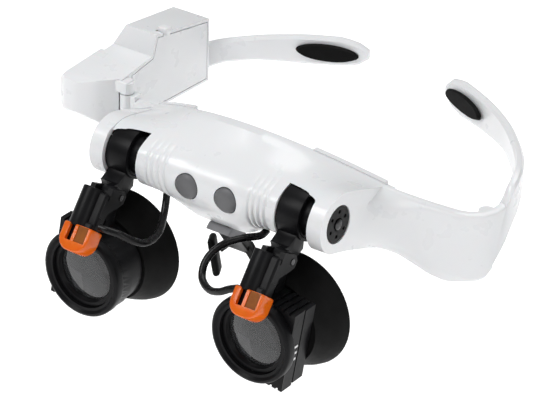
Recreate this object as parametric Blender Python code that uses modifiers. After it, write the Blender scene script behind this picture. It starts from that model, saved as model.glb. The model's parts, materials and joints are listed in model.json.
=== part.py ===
"""Head visor magnifier: a white visor worn like spectacles, with two flip-up loupes and two small lamps.

Lengths are written in millimetres in the frame of the visor, whose origin is the line that the two
loupe clips turn on; the empty "visor_frame" carries that frame to the nose rest, the part's origin.
+X is the wearer's left, +Y points to the back of the head and +Z is up.
"""
import math

import bmesh
import bpy
from mathutils import Matrix, Vector

# ---- driving dimensions (mm, visor frame) --------------------------------------------------------
MM = 0.001
NOSE_REST = (0.0, 10.0, -32.0)       # middle of the nose pads' contact, the part's origin
GAP = 0.3                            # clearance between touching pieces

CREST_Z = 15.7                       # top edge of the visor at the middle
CREST_DROP = 0.0063                  # fall of the crest per mm squared away from the middle
BAND_Y = 10.0                        # front of the brow band at the middle
BAND_SWEEP = 0.0066                  # backward sweep of the band per mm squared
BAND_T = 3.2                         # thickness of the band
BULGE_R = 8.9                        # round belly of the visor about the clip line
GROOVES = [16.3, 18.5, 20.7, 22.9]    # middles of the finger grooves beside each notch
GROOVE_HALF, GROOVE_DEPTH = 0.8, 0.5
NOTCH_X = (26.7, 39.3)               # the two gaps that the clips sit in
NOTCH_R = 8.8
LOBE_X = 44.6                        # outer face of the round end bosses
LOBE_R = 9.6
WING_X = {"left": 64.0, "right": -60.2}   # last upright section of each wing

SHAFT_R = 6.5
JOURNAL_R = 5.6
BUSH_R = 7.2
RING_IN_R = 7.5
RING_OUT_R = 8.4
RING_LEN = 8.2
CLIP_X = {"left": 31.1, "right": -34.9}     # clip centres: left pushed in, right pulled out

LENS_Z = -33.6                       # height of the optical axes
BARREL_FRONT_Y = -26.8
BARREL_R = 14.7
BORE_R = 11.8
PLATE_T = 5.2
PLATE_HALF = 14.4
PLATE_OUT = 12.6                     # reach of the square side of the plates
PLATE_ROLL = 9.0                     # lean of the lens plates about the optical axis, degrees
PLATE_Y = -23.4                      # front face of the lens plate
HOLDER_Y = -17.6                     # front face of the holder plate
CUP_FRONT_Y = -12.1
CUP_RIM_Y = -0.6
CUP_RIM_R = 19.6

PIVOT_Y, PIVOT_Z = -14.6, -8.8       # pin that the lamp tilts on
LAMP_TILT = 38.0                     # forward lean of the lamp, degrees
LAMP_SHIFT = 2.8                     # the lamp stands this far to the wearer's left of the clip

BUTTON_X, BUTTON_Z = 7.5, -0.9
BUTTON_R = 4.1

BOX_IN_X, BOX_OUT_X = -64.0, -88.0   # battery case, inner and outer faces
HINGE = {"left": (69.2, 46.6), "right": (-62.9, 33.6)}   # where the arms fold, seen from above
CELL_R, CELL_LEN = 4.15, 42.5        # AAAA cells
ARM_T = 3.0                          # thickness of the head arms

SCENE = bpy.context.scene
for old in list(bpy.data.objects):
    bpy.data.objects.remove(old, do_unlink=True)

PARTS = bpy.data.collections.new("head_visor_magnifier")
CUTTERS = bpy.data.collections.new("cutters")
SCENE.collection.children.link(PARTS)
SCENE.collection.children.link(CUTTERS)

FRAME = bpy.data.objects.new("visor_frame", None)
FRAME.location = [-c * MM for c in NOSE_REST]
PARTS.objects.link(FRAME)


# ---- materials -----------------------------------------------------------------------------------
def material(name, colour, roughness, metallic=0.0, transmission=0.0, alpha=1.0):
    mat = bpy.data.materials.new(name)
    mat.use_nodes = True
    shader = mat.node_tree.nodes["Principled BSDF"]
    shader.inputs["Base Color"].default_value = (*colour, 1.0)
    shader.inputs["Roughness"].default_value = roughness
    shader.inputs["Metallic"].default_value = metallic
    shader.inputs["Transmission Weight"].default_value = transmission
    shader.inputs["Alpha"].default_value = alpha
    return mat


WHITE = material("white_plastic", (0.86, 0.87, 0.89), 0.28)
BLACK = material("black_plastic", (0.012, 0.012, 0.013), 0.35)
RUBBER = material("black_rubber", (0.010, 0.010, 0.010), 0.70)
BUTTON = material("grey_rubber", (0.11, 0.11, 0.115), 0.55)
CLEAR_GREY = material("nose_bracket_plastic", (0.30, 0.31, 0.33), 0.30)
ORANGE = material("orange_cap", (0.95, 0.20, 0.01), 0.22)
GLASS = material("lens_glass", (0.35, 0.36, 0.38), 0.03, 0.0, 0.9)
STEEL = material("steel", (0.62, 0.62, 0.64), 0.25, 1.0)
BOARD = material("circuit_board", (0.02, 0.16, 0.06), 0.45)
LED = material("led", (0.90, 0.88, 0.70), 0.20)
CELL = material("battery_sleeve", (0.10, 0.12, 0.16), 0.35)
CABLE = material("cable_jacket", (0.011, 0.011, 0.012), 0.42)


# ---- modelling helpers -----------------------------------------------------------------------------
def vec(x, y, z):
    return Vector((x, y, z)) * MM


def new_object(name, mesh, mat, cutter=False):
    obj = bpy.data.objects.new(name, mesh)
    if cutter:
        CUTTERS.objects.link(obj)
        obj.hide_render = True
        obj.display_type = "WIRE"
    else:
        PARTS.objects.link(obj)
        mesh.materials.append(mat)
    obj.parent = FRAME
    return obj


def mesh_from_bmesh(name, bm):
    bmesh.ops.recalc_face_normals(bm, faces=bm.faces)
    mesh = bpy.data.meshes.new(name)
    bm.to_mesh(mesh)
    bm.free()
    return mesh


def box(name, low, high, mat, bevel=0.0, cutter=False, turn=None):
    """A box between two corners; turn is an optional matrix about the box's middle."""
    bm = bmesh.new()
    bmesh.ops.create_cube(bm, size=1.0)
    low, high = vec(*low), vec(*high)
    size = high - low
    bmesh.ops.scale(bm, vec=size, verts=bm.verts)
    if turn is not None:
        bmesh.ops.transform(bm, matrix=turn, verts=bm.verts)
    bmesh.ops.translate(bm, vec=(low + high) / 2, verts=bm.verts)
    obj = new_object(name, mesh_from_bmesh(name, bm), mat, cutter)
    if bevel:
        add_bevel(obj, bevel)
    return obj


def add_bevel(obj, width, segments=2, angle=35.0):
    mod = obj.modifiers.new("round_edges", "BEVEL")
    mod.width = width * MM
    mod.segments = segments
    mod.limit_method = "ANGLE"
    mod.angle_limit = math.radians(angle)
    mod.use_clamp_overlap = True
    return mod


AXIS_TURN = {
    "X": Matrix.Rotation(math.radians(90), 4, "Y"),
    "-X": Matrix.Rotation(math.radians(-90), 4, "Y"),
    "-Y": Matrix.Rotation(math.radians(90), 4, "X"),
    "Y": Matrix.Rotation(math.radians(-90), 4, "X"),
    "Z": Matrix.Identity(4),
}


def cylinder(name, radius, start, length, axis, mat, cutter=False, sides=40, bevel=0.0, radius2=None):
    """A cylinder or cone from start along axis."""
    bm = bmesh.new()
    top = radius if radius2 is None else radius2
    bmesh.ops.create_cone(bm, cap_ends=True, segments=sides, radius1=radius * MM, radius2=top * MM,
                          depth=length * MM)
    bmesh.ops.translate(bm, vec=(0, 0, length * MM / 2), verts=bm.verts)
    bmesh.ops.transform(bm, matrix=AXIS_TURN[axis], verts=bm.verts)
    bmesh.ops.translate(bm, vec=vec(*start), verts=bm.verts)
    obj = new_object(name, mesh_from_bmesh(name, bm), mat, cutter)
    obj.data.shade_smooth()
    obj.data.set_sharp_from_angle(angle=math.radians(40))
    if bevel:
        add_bevel(obj, bevel)
    return obj


def turned(name, profile, origin, axis, mat, steps=40):
    """A turned piece: profile is a list of (radius, height) run down the outer side, spun about axis."""
    mesh = bpy.data.meshes.new(name)
    verts = [vec(r, 0, h) for r, h in profile]
    on_axis = profile[0][0] == 0
    count = len(verts)
    edges = [(i, i + 1) for i in range(count - 1)]
    if not on_axis:
        edges.append((count - 1, 0))
    mesh.from_pydata(verts, edges, [])
    obj = new_object(name, mesh, mat)
    obj.matrix_local = Matrix.Translation(vec(*origin)) @ AXIS_TURN[axis]
    screw = obj.modifiers.new("turn", "SCREW")
    screw.axis = "Z"
    screw.steps = steps
    screw.render_steps = steps
    screw.use_merge_vertices = True
    screw.merge_threshold = 0.00001
    screw.use_smooth_shade = True
    return obj


def plate_from_outline(name, points, depth, origin, mat, axis="X", bevel=0.0, cutter=False):
    """A flat outline given as (y, z) for axis X, (x, z) for axis Y or (x, y) for axis Z."""
    bm = bmesh.new()
    place = {"X": lambda a, b: (0, a, b), "Y": lambda a, b: (a, 0, b), "Z": lambda a, b: (a, b, 0)}
    verts = [bm.verts.new(vec(*place[axis](a, b))) for a, b in points]
    face = bm.faces.new(verts)
    step = {"X": (depth, 0, 0), "Y": (0, depth, 0), "Z": (0, 0, depth)}[axis]
    grown = bmesh.ops.extrude_face_region(bm, geom=[face])
    moved = [item for item in grown["geom"] if isinstance(item, bmesh.types.BMVert)]
    bmesh.ops.translate(bm, vec=vec(*step), verts=moved)
    bmesh.ops.translate(bm, vec=vec(*origin), verts=bm.verts)
    obj = new_object(name, mesh_from_bmesh(name, bm), mat, cutter)
    if bevel:
        add_bevel(obj, bevel)
    return obj


def loft(name, rings, mat, cutter=False):
    """A closed skin through rings that all have the same number of points."""
    bm = bmesh.new()
    rows = [[bm.verts.new(vec(*p)) for p in ring] for ring in rings]
    count = len(rows[0])
    for a, b in zip(rows, rows[1:]):
        for i in range(count):
            j = (i + 1) % count
            bm.faces.new((a[i], a[j], b[j], b[i]))
    bm.faces.new(rows[0])
    bm.faces.new(reversed(rows[-1]))
    obj = new_object(name, mesh_from_bmesh(name, bm), mat, cutter)
    obj.data.shade_smooth()
    obj.data.set_sharp_from_angle(angle=math.radians(38))
    return obj


def boolean(obj, other, operation="DIFFERENCE"):
    mod = obj.modifiers.new(operation.lower(), "BOOLEAN")
    mod.operation = operation
    mod.object = other
    mod.solver = "EXACT"
    return mod


def smooth_step(value, low, high):
    t = min(max((value - low) / (high - low), 0.0), 1.0)
    return t * t * (3 - 2 * t)


def blend(a, b, t):
    return a + (b - a) * t


def through(points, x):
    """Smooth reading of a short list of (x, value) pairs, flat beyond its ends."""
    if x <= points[0][0]:
        return points[0][1]
    for (x0, v0), (x1, v1) in zip(points, points[1:]):
        if x <= x1:
            return blend(v0, v1, (x - x0) / (x1 - x0))
    return points[-1][1]


def catmull(points, samples):
    """A smooth open curve through points, samples per span."""
    pts = [Vector(p) for p in points]
    ends = [pts[0] * 2 - pts[1]] + pts + [pts[-1] * 2 - pts[-2]]
    curve = []
    for i in range(1, len(ends) - 2):
        p0, p1, p2, p3 = ends[i - 1:i + 3]
        for k in range(samples):
            t = k / samples
            curve.append(0.5 * ((2 * p1) + (p2 - p0) * t + (2 * p0 - 5 * p1 + 4 * p2 - p3) * t * t
                                + (3 * p1 - p0 - 3 * p2 + p3) * t ** 3))
    curve.append(pts[-1])
    return curve


# ---- visor shell -----------------------------------------------------------------------------------
def crest_z(x):
    near = CREST_Z - CREST_DROP * min(abs(x), 45.0) ** 2
    return near - 0.44 * max(abs(x) - 45.0, 0.0)


def band_y(x):
    return BAND_Y + BAND_SWEEP * x * x


WING_BOTTOM = [(36, -17.6), (42, -17.3), (46, -18.4), (50, -20.2), (54, -23.4), (58, -27.0), (62, -29.6),
               (66, -30.3), (70, -28.0)]
WING_NOSE = [(44.7, 9.5), (46, 14.0), (48, 18.5), (51, 23.5), (55, 28.0), (60, 32.6), (64, 36.0), (70, 41.4)]


def belly_front(x, inset):
    """Front outline of the middle body at x, crest to bottom lip, drawn in by inset."""
    end = smooth_step(abs(x), 8.0, 24.0)
    r = BULGE_R - inset
    slope_top = (band_y(x) - 1.2 + inset * 0.4, crest_z(x) - inset * 0.9)
    slope_mid = (blend(1.8, 1.4, end) + inset * 0.6, blend(9.9, 9.3, end) - inset * 0.8)
    middle = [(-4.4 + inset * 0.6, 6.3 - inset * 0.7),
              (-7.1 + inset * 0.9, 3.0 - inset * 0.3),
              (-7.8 + inset, -1.0),
              (-7.3 + inset, -4.8 + inset * 0.2),
              (-5.4 + inset, -8.2 + inset * 0.4),
              (-2.6 + inset * 0.6, -12.0 + inset),
              (0.6 + inset * 0.3, -15.2 + inset)]
    angles = (45, 20, -5, -31, -57, -80, -103)
    round_end = [(-r * math.cos(math.radians(a)), r * math.sin(math.radians(a))) for a in angles]
    belly = [(blend(m[0], e[0], end), blend(m[1], e[1], end)) for m, e in zip(middle, round_end)]
    return [slope_top, slope_mid] + belly


def shell_ring(x):
    """Closed outline of the shell at x as (x, y, z) points: front side down, rear side up."""
    back = band_y(x) + BAND_T
    ax = abs(x)
    if ax <= NOTCH_X[1] + 0.01:
        front = belly_front(x, 0.0)
        if any(abs(ax - groove) < 0.01 for groove in GROOVES):
            for k, share in enumerate((0.5, 1.0, 1.0, 1.0, 1.0, 1.0, 0.5)):
                y, z = front[2 + k]
                keep = 1.0 - GROOVE_DEPTH * share / BULGE_R
                front[2 + k] = (y * keep, z * keep)
        low = blend(-15.4, -9.2, smooth_step(ax, 8.0, 24.0))
        low = blend(low, -17.4, smooth_step(ax, 24.0, 34.0))
        rear = [(band_y(x) * 0.62, blend(low, -9.6, 0.25)), (back - 1.4, low), (back, low + 1.6)]
    elif ax <= LOBE_X + 0.01:
        r = LOBE_R
        angles = (62, 35, 10, -15, -40, -65, -92)
        lobe = [(-r * math.cos(math.radians(a)), r * math.sin(math.radians(a))) for a in angles]
        front = [(band_y(x) - 1.2, crest_z(x)), (4.0, 9.4)] + lobe
        rear = [(9.0, -12.4), (back - 1.4, -17.4), (back, -15.8)]
    else:
        top, low = crest_z(x), through(WING_BOTTOM, ax)
        nose = through(WING_NOSE, ax)
        edge = band_y(x)
        height = top - low
        front = [(edge + 0.6, top), (edge - 0.6, top - 0.6)]
        for k in range(7):
            t = (k + 0.6) / 7.2
            swell = math.sin(math.pi * t) ** 0.6
            front.append((blend(edge - 0.9, nose - 0.4, swell), top - 1.0 - (height - 2.0) * t))
        rear = [(edge - 0.4, low + 0.1), (edge + 1.4, low), (back, low + 1.6)]
    rear_top = [(back, 0.5 * (rear[-1][1] + crest_z(x))), (back, crest_z(x) - 1.0), (back - 1.0, crest_z(x))]
    return [(x, y, z) for y, z in front + rear + rear_top]


WING_TAIL = [((68.0, 38.9), (66.0, 42.2), -6.0, -30.2, 0.0), ((71.0, 41.6), (68.2, 44.2), -6.3, -29.6, 2.0),
             ((72.9, 44.6), (69.6, 46.0), -6.2, -28.4, 5.0), ((73.5, 47.2), (70.2, 47.8), -5.6, -27.0, 8.0)]


def wing_tail():
    """Rings that turn the left wing round the corner to the seam with its arm."""
    shape = [(0.4, 0.0), (0.1, 0.025)] + [(0.0, 0.06 + 0.88 * k / 6) for k in range(7)]
    shape += [(0.15, 0.985), (0.5, 1.0), (1.0, 0.94), (1.0, 0.5), (1.0, 0.05), (0.7, 0.0)]
    rings = []
    for outer, inner, top, low, lean in WING_TAIL:
        rings.append([(blend(outer[0], inner[0], side), blend(outer[1], inner[1], side) + lean * (0.5 - t),
                       blend(top, low, t)) for side, t in shape])
    return rings


def stations(limits, step):
    xs = []
    for a, b in zip(limits, limits[1:]):
        count = max(1, round((b - a) / step))
        xs += [a + (b - a) * k / count for k in range(count)]
    return xs + [limits[-1]]


def build_shell():
    half = stations([0.0, 12.0, GROOVES[0] - GROOVE_HALF], 3.4)
    for groove in GROOVES:
        half += [groove, groove + GROOVE_HALF, groove + 2.2 - GROOVE_HALF]
    half += stations([NOTCH_X[0], NOTCH_X[1]], 3.4)
    half += stations([NOTCH_X[1] + 0.02, LOBE_X], 3.0)
    left = half + stations([LOBE_X + 0.1, WING_X["left"]], 2.8)
    right = half + stations([LOBE_X + 0.1, -WING_X["right"]], 2.8)
    xs = [-x for x in reversed(right)] + left[1:]
    shell = loft("front_shell", [shell_ring(x) for x in xs] + wing_tail(), WHITE)

    inner_xs = stations([-23.0, 0.0, 23.0], 4.6)
    rings = []
    for x in inner_xs:
        front = belly_front(x, 1.7)
        back = band_y(x) + BAND_T + 2.0
        front[-1] = (front[-1][0] + 1.5, front[-1][1] + 0.4)
        ring = front + [(back, front[-1][1] + 1.4), (back, crest_z(x) - 2.2)]
        rings.append([(x, y, z) for y, z in ring])
    boolean(shell, loft("cut_cavity", rings, None, cutter=True))

    for side, name in ((1, "left"), (-1, "right")):
        middle = side * (NOTCH_X[0] + NOTCH_X[1]) / 2
        width = NOTCH_X[1] - NOTCH_X[0]
        notch = cylinder(f"cut_notch_{name}", NOTCH_R, (middle - width / 2, 0, 0), width, "X", None, True, 48)
        open_way = plate_from_outline(f"cut_mouth_{name}",
                                      [(-5.6, 6.7), (-20, 6.7), (-20, -30), (4.0, -30), (NOTCH_R, -3.0)],
                                      width, (middle - width / 2, 0, 0), None, cutter=True)
        journal = cylinder(f"cut_journal_{name}", JOURNAL_R + GAP, (side * 23.6, 0, 0), 19.4,
                           "X" if side > 0 else "-X", None, True, 40)
        recess = cylinder(f"cut_cap_{name}", 6.3, (side * 42.7, 0, 0), 4.0, "X" if side > 0 else "-X",
                          None, True, 40)
        button = cylinder(f"cut_button_{name}", BUTTON_R + 0.3, (side * BUTTON_X, -12.0, BUTTON_Z), 9.0,
                          "Y", None, True, 32)
        cable = cylinder(f"cut_cable_{name}", 1.75, (side * 19.5, -1.8, -14.0), 9.0, "Z", None, True, 16)
        for cutter in (notch, open_way, journal, recess, button, cable):
            boolean(shell, cutter)

    hx, hy = HINGE["left"]
    lug = cylinder("add_hinge_lug_left", 2.7, (hx, hy, -27.4), 20.6, "Z", None, True, 24)
    boolean(shell, lug, "UNION")
    pocket = cylinder("cut_hinge_pocket_left", 3.1, (hx, hy, -22.2), 12.8, "Z", None, True, 28)
    throat = box("cut_hinge_throat_left", (hx - 6.0, hy - 2.6, -22.1), (hx + 2.4, hy + 9.0, -9.5), None,
                 cutter=True)
    boolean(shell, pocket)
    boolean(shell, throat)
    boolean(shell, cylinder("cut_hinge_pin_left", 1.25, (hx, hy, -25.6), 18.4, "Z", None, True, 20))

    hx, hy = HINGE["right"]
    boolean(shell, cylinder("add_hinge_barrel_right", 2.4, (hx, hy, -8.8), 7.2, "Z", None, True, 24), "UNION")
    boolean(shell, box("add_hinge_tongue_right", (hx + 0.4, hy - 1.2, -8.8), (hx + 4.0, hy + 2.6, -1.6), None,
                       cutter=True), "UNION")
    boolean(shell, cylinder("cut_hinge_pin_right", 1.25, (hx, hy, -20), 30, "Z", None, True, 20))
    return shell


def build_rear_cover():
    """Curved plate behind the shell with two raised strips along its top."""
    rings = []
    for x in stations([-46.0, -44.0, -43.9, -23.1, -23.0, 0.0, 23.0, 23.1, 43.9, 44.0, 46.0], 4.0):
        near = band_y(x) + BAND_T + GAP
        far = near + 1.8
        raised = 23.05 < abs(x) < 43.95
        top = crest_z(x) + (-0.3 if raised else -1.6)
        low = -8.0 if abs(x) < 44.5 else -7.0
        rings.append([(x, near, low), (x, near, top), (x, far, top), (x, far, low)])
    return loft("rear_cover", rings, WHITE)


# ---- shafts, caps and buttons ------------------------------------------------------------------------
def build_shaft(side, name):
    turn = "X" if side > 0 else "-X"
    profile = [(0, 18.7), (JOURNAL_R, 18.7), (JOURNAL_R, 15.5), (SHAFT_R, 15.5), (SHAFT_R, 3.1),
               (JOURNAL_R, 3.1), (JOURNAL_R, 0.0), (0, 0.0)]
    start = NOTCH_X[0] + 0.05 - 3.1
    turned(f"shaft_{name}", profile, (side * start, 0, 0), turn, BLACK, 40)


def build_end_cap(side, name):
    turn = "X" if side > 0 else "-X"
    start = 43.0
    cap = cylinder(f"end_cap_{name}", 5.95, (side * start, 0, 0), 1.5, turn, BLACK, False, 40)
    boolean(cap, cylinder(f"cut_capseat_{name}", 2.2, (side * (start + 0.8), 0, 0), 2.0, turn, None, True, 24))
    boolean(cap, cylinder(f"cut_capbore_{name}", 1.1, (side * (start - 1), 0, 0), 4.0, turn, None, True, 16))
    for k in range(6):
        a = math.radians(60 * k + 20)
        hole = cylinder(f"cut_caphole_{name}_{k}", 0.65,
                        (side * (start + 0.7), 4.1 * math.cos(a), 4.1 * math.sin(a)), 2.0, turn, None, True, 10)
        boolean(cap, hole)
    profile = [(0, 1.35), (1.2, 1.35), (1.75, 1.0), (1.75, 0.3), (0.8, 0.3), (0.8, -0.6), (0, -0.6)]
    turned(f"end_screw_{name}", profile, (side * (start + 0.8), 0, 0), turn, STEEL, 20)


def build_button(side, name):
    x = side * BUTTON_X
    profile = [(0, 3.3), (2.4, 3.15), (3.5, 2.75), (BUTTON_R, 2.1), (BUTTON_R, -1.6), (4.9, -1.6), (4.9, -2.3),
               (1.3, -2.3), (1.3, -2.7), (0, -2.7)]
    turned(f"button_{name}", profile, (x, -5.6, BUTTON_Z), "-Y", BUTTON, 28)
    box(f"switch_{name}", (x - 3, -1.9, BUTTON_Z - 3), (x + 3, 1.6, BUTTON_Z + 3), BLACK, 0.3)


def build_electronics():
    box("circuit_board", (-21.0, 1.9, -6.5), (21.0, 3.3, 6.0), BOARD, 0.2)


def build_nose():
    """Clear bracket under the middle of the visor, and two rubber pads on its arms."""
    outline = [(-3.6, -17.2), (-1.6, -15.5), (3.2, -15.5), (5.0, -18.0), (10.5, -28.0), (8.6, -29.4), (2.4, -20.6)]
    bracket = plate_from_outline("nose_bracket", outline, 9.0, (-4.5, 2.0, 0), CLEAR_GREY, "X", 0.5)
    arms = plate_from_outline("add_nose_arms", [(-8.0, -30.2), (-4.2, -25.2), (4.2, -25.2), (8.0, -30.2),
                                                (6.0, -31.4), (2.6, -27.6), (-2.6, -27.6), (-6.0, -31.4)],
                              2.6, (0, 9.6, 0), None, "Y", cutter=True)
    boolean(bracket, arms, "UNION")
    for side, name in ((1, "left"), (-1, "right")):
        lean = Matrix.Rotation(math.radians(side * 12), 4, "Y") @ Matrix.Rotation(math.radians(-side * 30), 4, "Z")
        pad = box(f"nose_pad_{name}", (side * 9.6 - 1.2, 7.0, -40.5), (side * 9.6 + 1.2, 14.4, -27.6), RUBBER,
                  1.1, turn=lean)
        pad.modifiers["round_edges"].segments = 3


# ---- arms and battery case ---------------------------------------------------------------------------
ARM_PATH = [(71.9, 47.9), (72.6, 52.0), (72.0, 57.5), (69.8, 63.6), (65.8, 70.4), (59.8, 77.8), (51.2, 86.6),
            (40.0, 94.8), (28.0, 101.0), (17.0, 105.2)]
ARM_TOP = [(0, -5.0), (0.08, -2.6), (0.16, 0.2), (0.3, 2.2), (0.6, 1.8), (0.8, 2.2), (0.92, 2.6), (0.97, 1.6),
           (1, -1.4)]
ARM_LOW = [(0, -26.4), (0.08, -21.6), (0.18, -14.4), (0.3, -9.6), (0.45, -8.0), (0.65, -7.9), (0.8, -9.6),
           (0.92, -10.4), (0.97, -9.0), (1, -5.6)]
ARM_LEAN = [(0, 8.0), (0.12, 3.0), (0.25, 0.0)]


def arm_rings(path, tops, lows, leans, thick=ARM_T, samples=4):
    """Rounded upright sections along a plan path; tops, lows and leans read by fraction of the way."""
    curve = catmull([(x, y, 0) for x, y in path], samples)
    rings = []
    last = len(curve) - 1
    for i, p in enumerate(curve):
        t = i / last
        ahead = curve[min(i + 1, last)] - curve[max(i - 1, 0)]
        across = Vector((ahead.y, -ahead.x, 0)).normalized()
        top, low, lean = through(tops, t), through(lows, t), through(leans, t)
        half = thick / 2
        ring = []
        for off, z in ((-1.0, low + 1.2), (-1.0, top - 1.2), (-0.55, top - 0.2), (0.0, top), (0.55, top - 0.2),
                       (1.0, top - 1.2), (1.0, low + 1.2), (0.55, low + 0.2), (0.0, low), (-0.55, low + 0.2)):
            q = p + across * off * half
            ring.append((q.x, q.y + lean * ((z - low) / (top - low) - 0.5), z))
        rings.append(ring)
    return rings


def pad_on_arm(name, centre, direction, bend_radius, mat):
    """Oval rubber pad lying on the inner face of an arm end."""
    bm = bmesh.new()
    bmesh.ops.create_cone(bm, cap_ends=True, segments=32, radius1=1.0, radius2=0.9, depth=1.0)
    bmesh.ops.scale(bm, vec=vec(11.0, 3.1, 1.2), verts=bm.verts)
    for v in bm.verts:
        v.co.z += v.co.x ** 2 / (2 * bend_radius * MM)
    inward = Vector((direction[1], -direction[0], 0)).normalized()
    along = Vector((direction[0], direction[1], 0)).normalized()
    turn = Matrix((along, Vector((0, 0, 1)), inward)).transposed().to_4x4()
    bmesh.ops.transform(bm, matrix=turn, verts=bm.verts)
    bmesh.ops.translate(bm, vec=vec(*centre) + inward * (ARM_T / 2 + 0.55 + 0.6) * MM, verts=bm.verts)
    return new_object(name, mesh_from_bmesh(name, bm), mat)


def build_left_arm():
    arm = loft("left_arm", arm_rings(ARM_PATH, ARM_TOP, ARM_LOW, ARM_LEAN), WHITE)
    hx, hy = HINGE["left"]
    barrel = cylinder("add_hinge_barrel_left", 2.6, (hx, hy, -21.8), 12.0, "Z", None, True, 24)
    tongue = box("add_hinge_tongue_left", (hx - 1.8, hy, -21.8), (hx + 1.8, hy + 6.0, -9.8), None, cutter=True)
    boolean(arm, barrel, "UNION")
    boolean(arm, tongue, "UNION")
    for k, low in enumerate((-42.1, -9.5)):
        boolean(arm, cylinder(f"cut_arm_room_{k}", 3.1, (hx, hy, low), 20.0, "Z", None, True, 24))
    boolean(arm, cylinder("cut_arm_bore_left", 1.25, (hx, hy, -24), 17, "Z", None, True, 20))
    pad_on_arm("arm_pad_left", (28.4, 100.8, -3.6), (0.9, -0.435), 95.0, RUBBER)


def build_right_arm():
    path = [(-67.5, 81.9), (-62.4, 85.0), (-55.0, 89.6), (-47.0, 93.6), (-38.0, 97.6), (-28.0, 101.6),
            (-15.5, 106.0)]
    tops = [(0, -2.9), (0.2, -0.8), (0.45, 1.4), (0.7, 3.2), (0.88, 3.9), (0.95, 3.0), (1, 0.6)]
    lows = [(0, -12.9), (0.2, -9.6), (0.4, -8.0), (0.6, -7.6), (0.75, -7.4), (0.9, -6.4), (0.96, -5.2), (1, -2.6)]
    loft("right_arm", arm_rings(path, tops, lows, [(0, 0.0)]), WHITE)
    pad_on_arm("arm_pad_right", (-29.0, 101.2, -1.6), (0.93, 0.37), 400.0, RUBBER)


BOX_PROFILE = [(32.2, 3.4), (48.4, 5.6), (51.0, 12.6), (80.4, 7.8), (80.4, -15.6), (36.0, -14.2), (32.2, -12.0)]
CELL_BAY = [(36.4, 3.7), (48.4, 5.6), (51.0, 12.6), (80.4, 7.8), (80.4, -15.6), (37.6, -14.3), (36.4, -13.2)]


def inset_profile(points, wall):
    """The outline moved in by wall, corner by corner."""
    moved = []
    count = len(points)
    area = sum(points[i][0] * points[(i + 1) % count][1] - points[(i + 1) % count][0] * points[i][1]
               for i in range(count))
    turn = 1.0 if area > 0 else -1.0
    for i, (y, z) in enumerate(points):
        a = Vector((points[i - 1][0], points[i - 1][1]))
        b = Vector((y, z))
        c = Vector(points[(i + 1) % count])
        n1 = Vector((-(b - a).y, (b - a).x)).normalized() * turn
        n2 = Vector((-(c - b).y, (c - b).x)).normalized() * turn
        half = (n1 + n2).normalized()
        b = b + half * (wall / max(half.dot(n1), 0.3))
        moved.append((b.x, b.y))
    return moved


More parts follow.
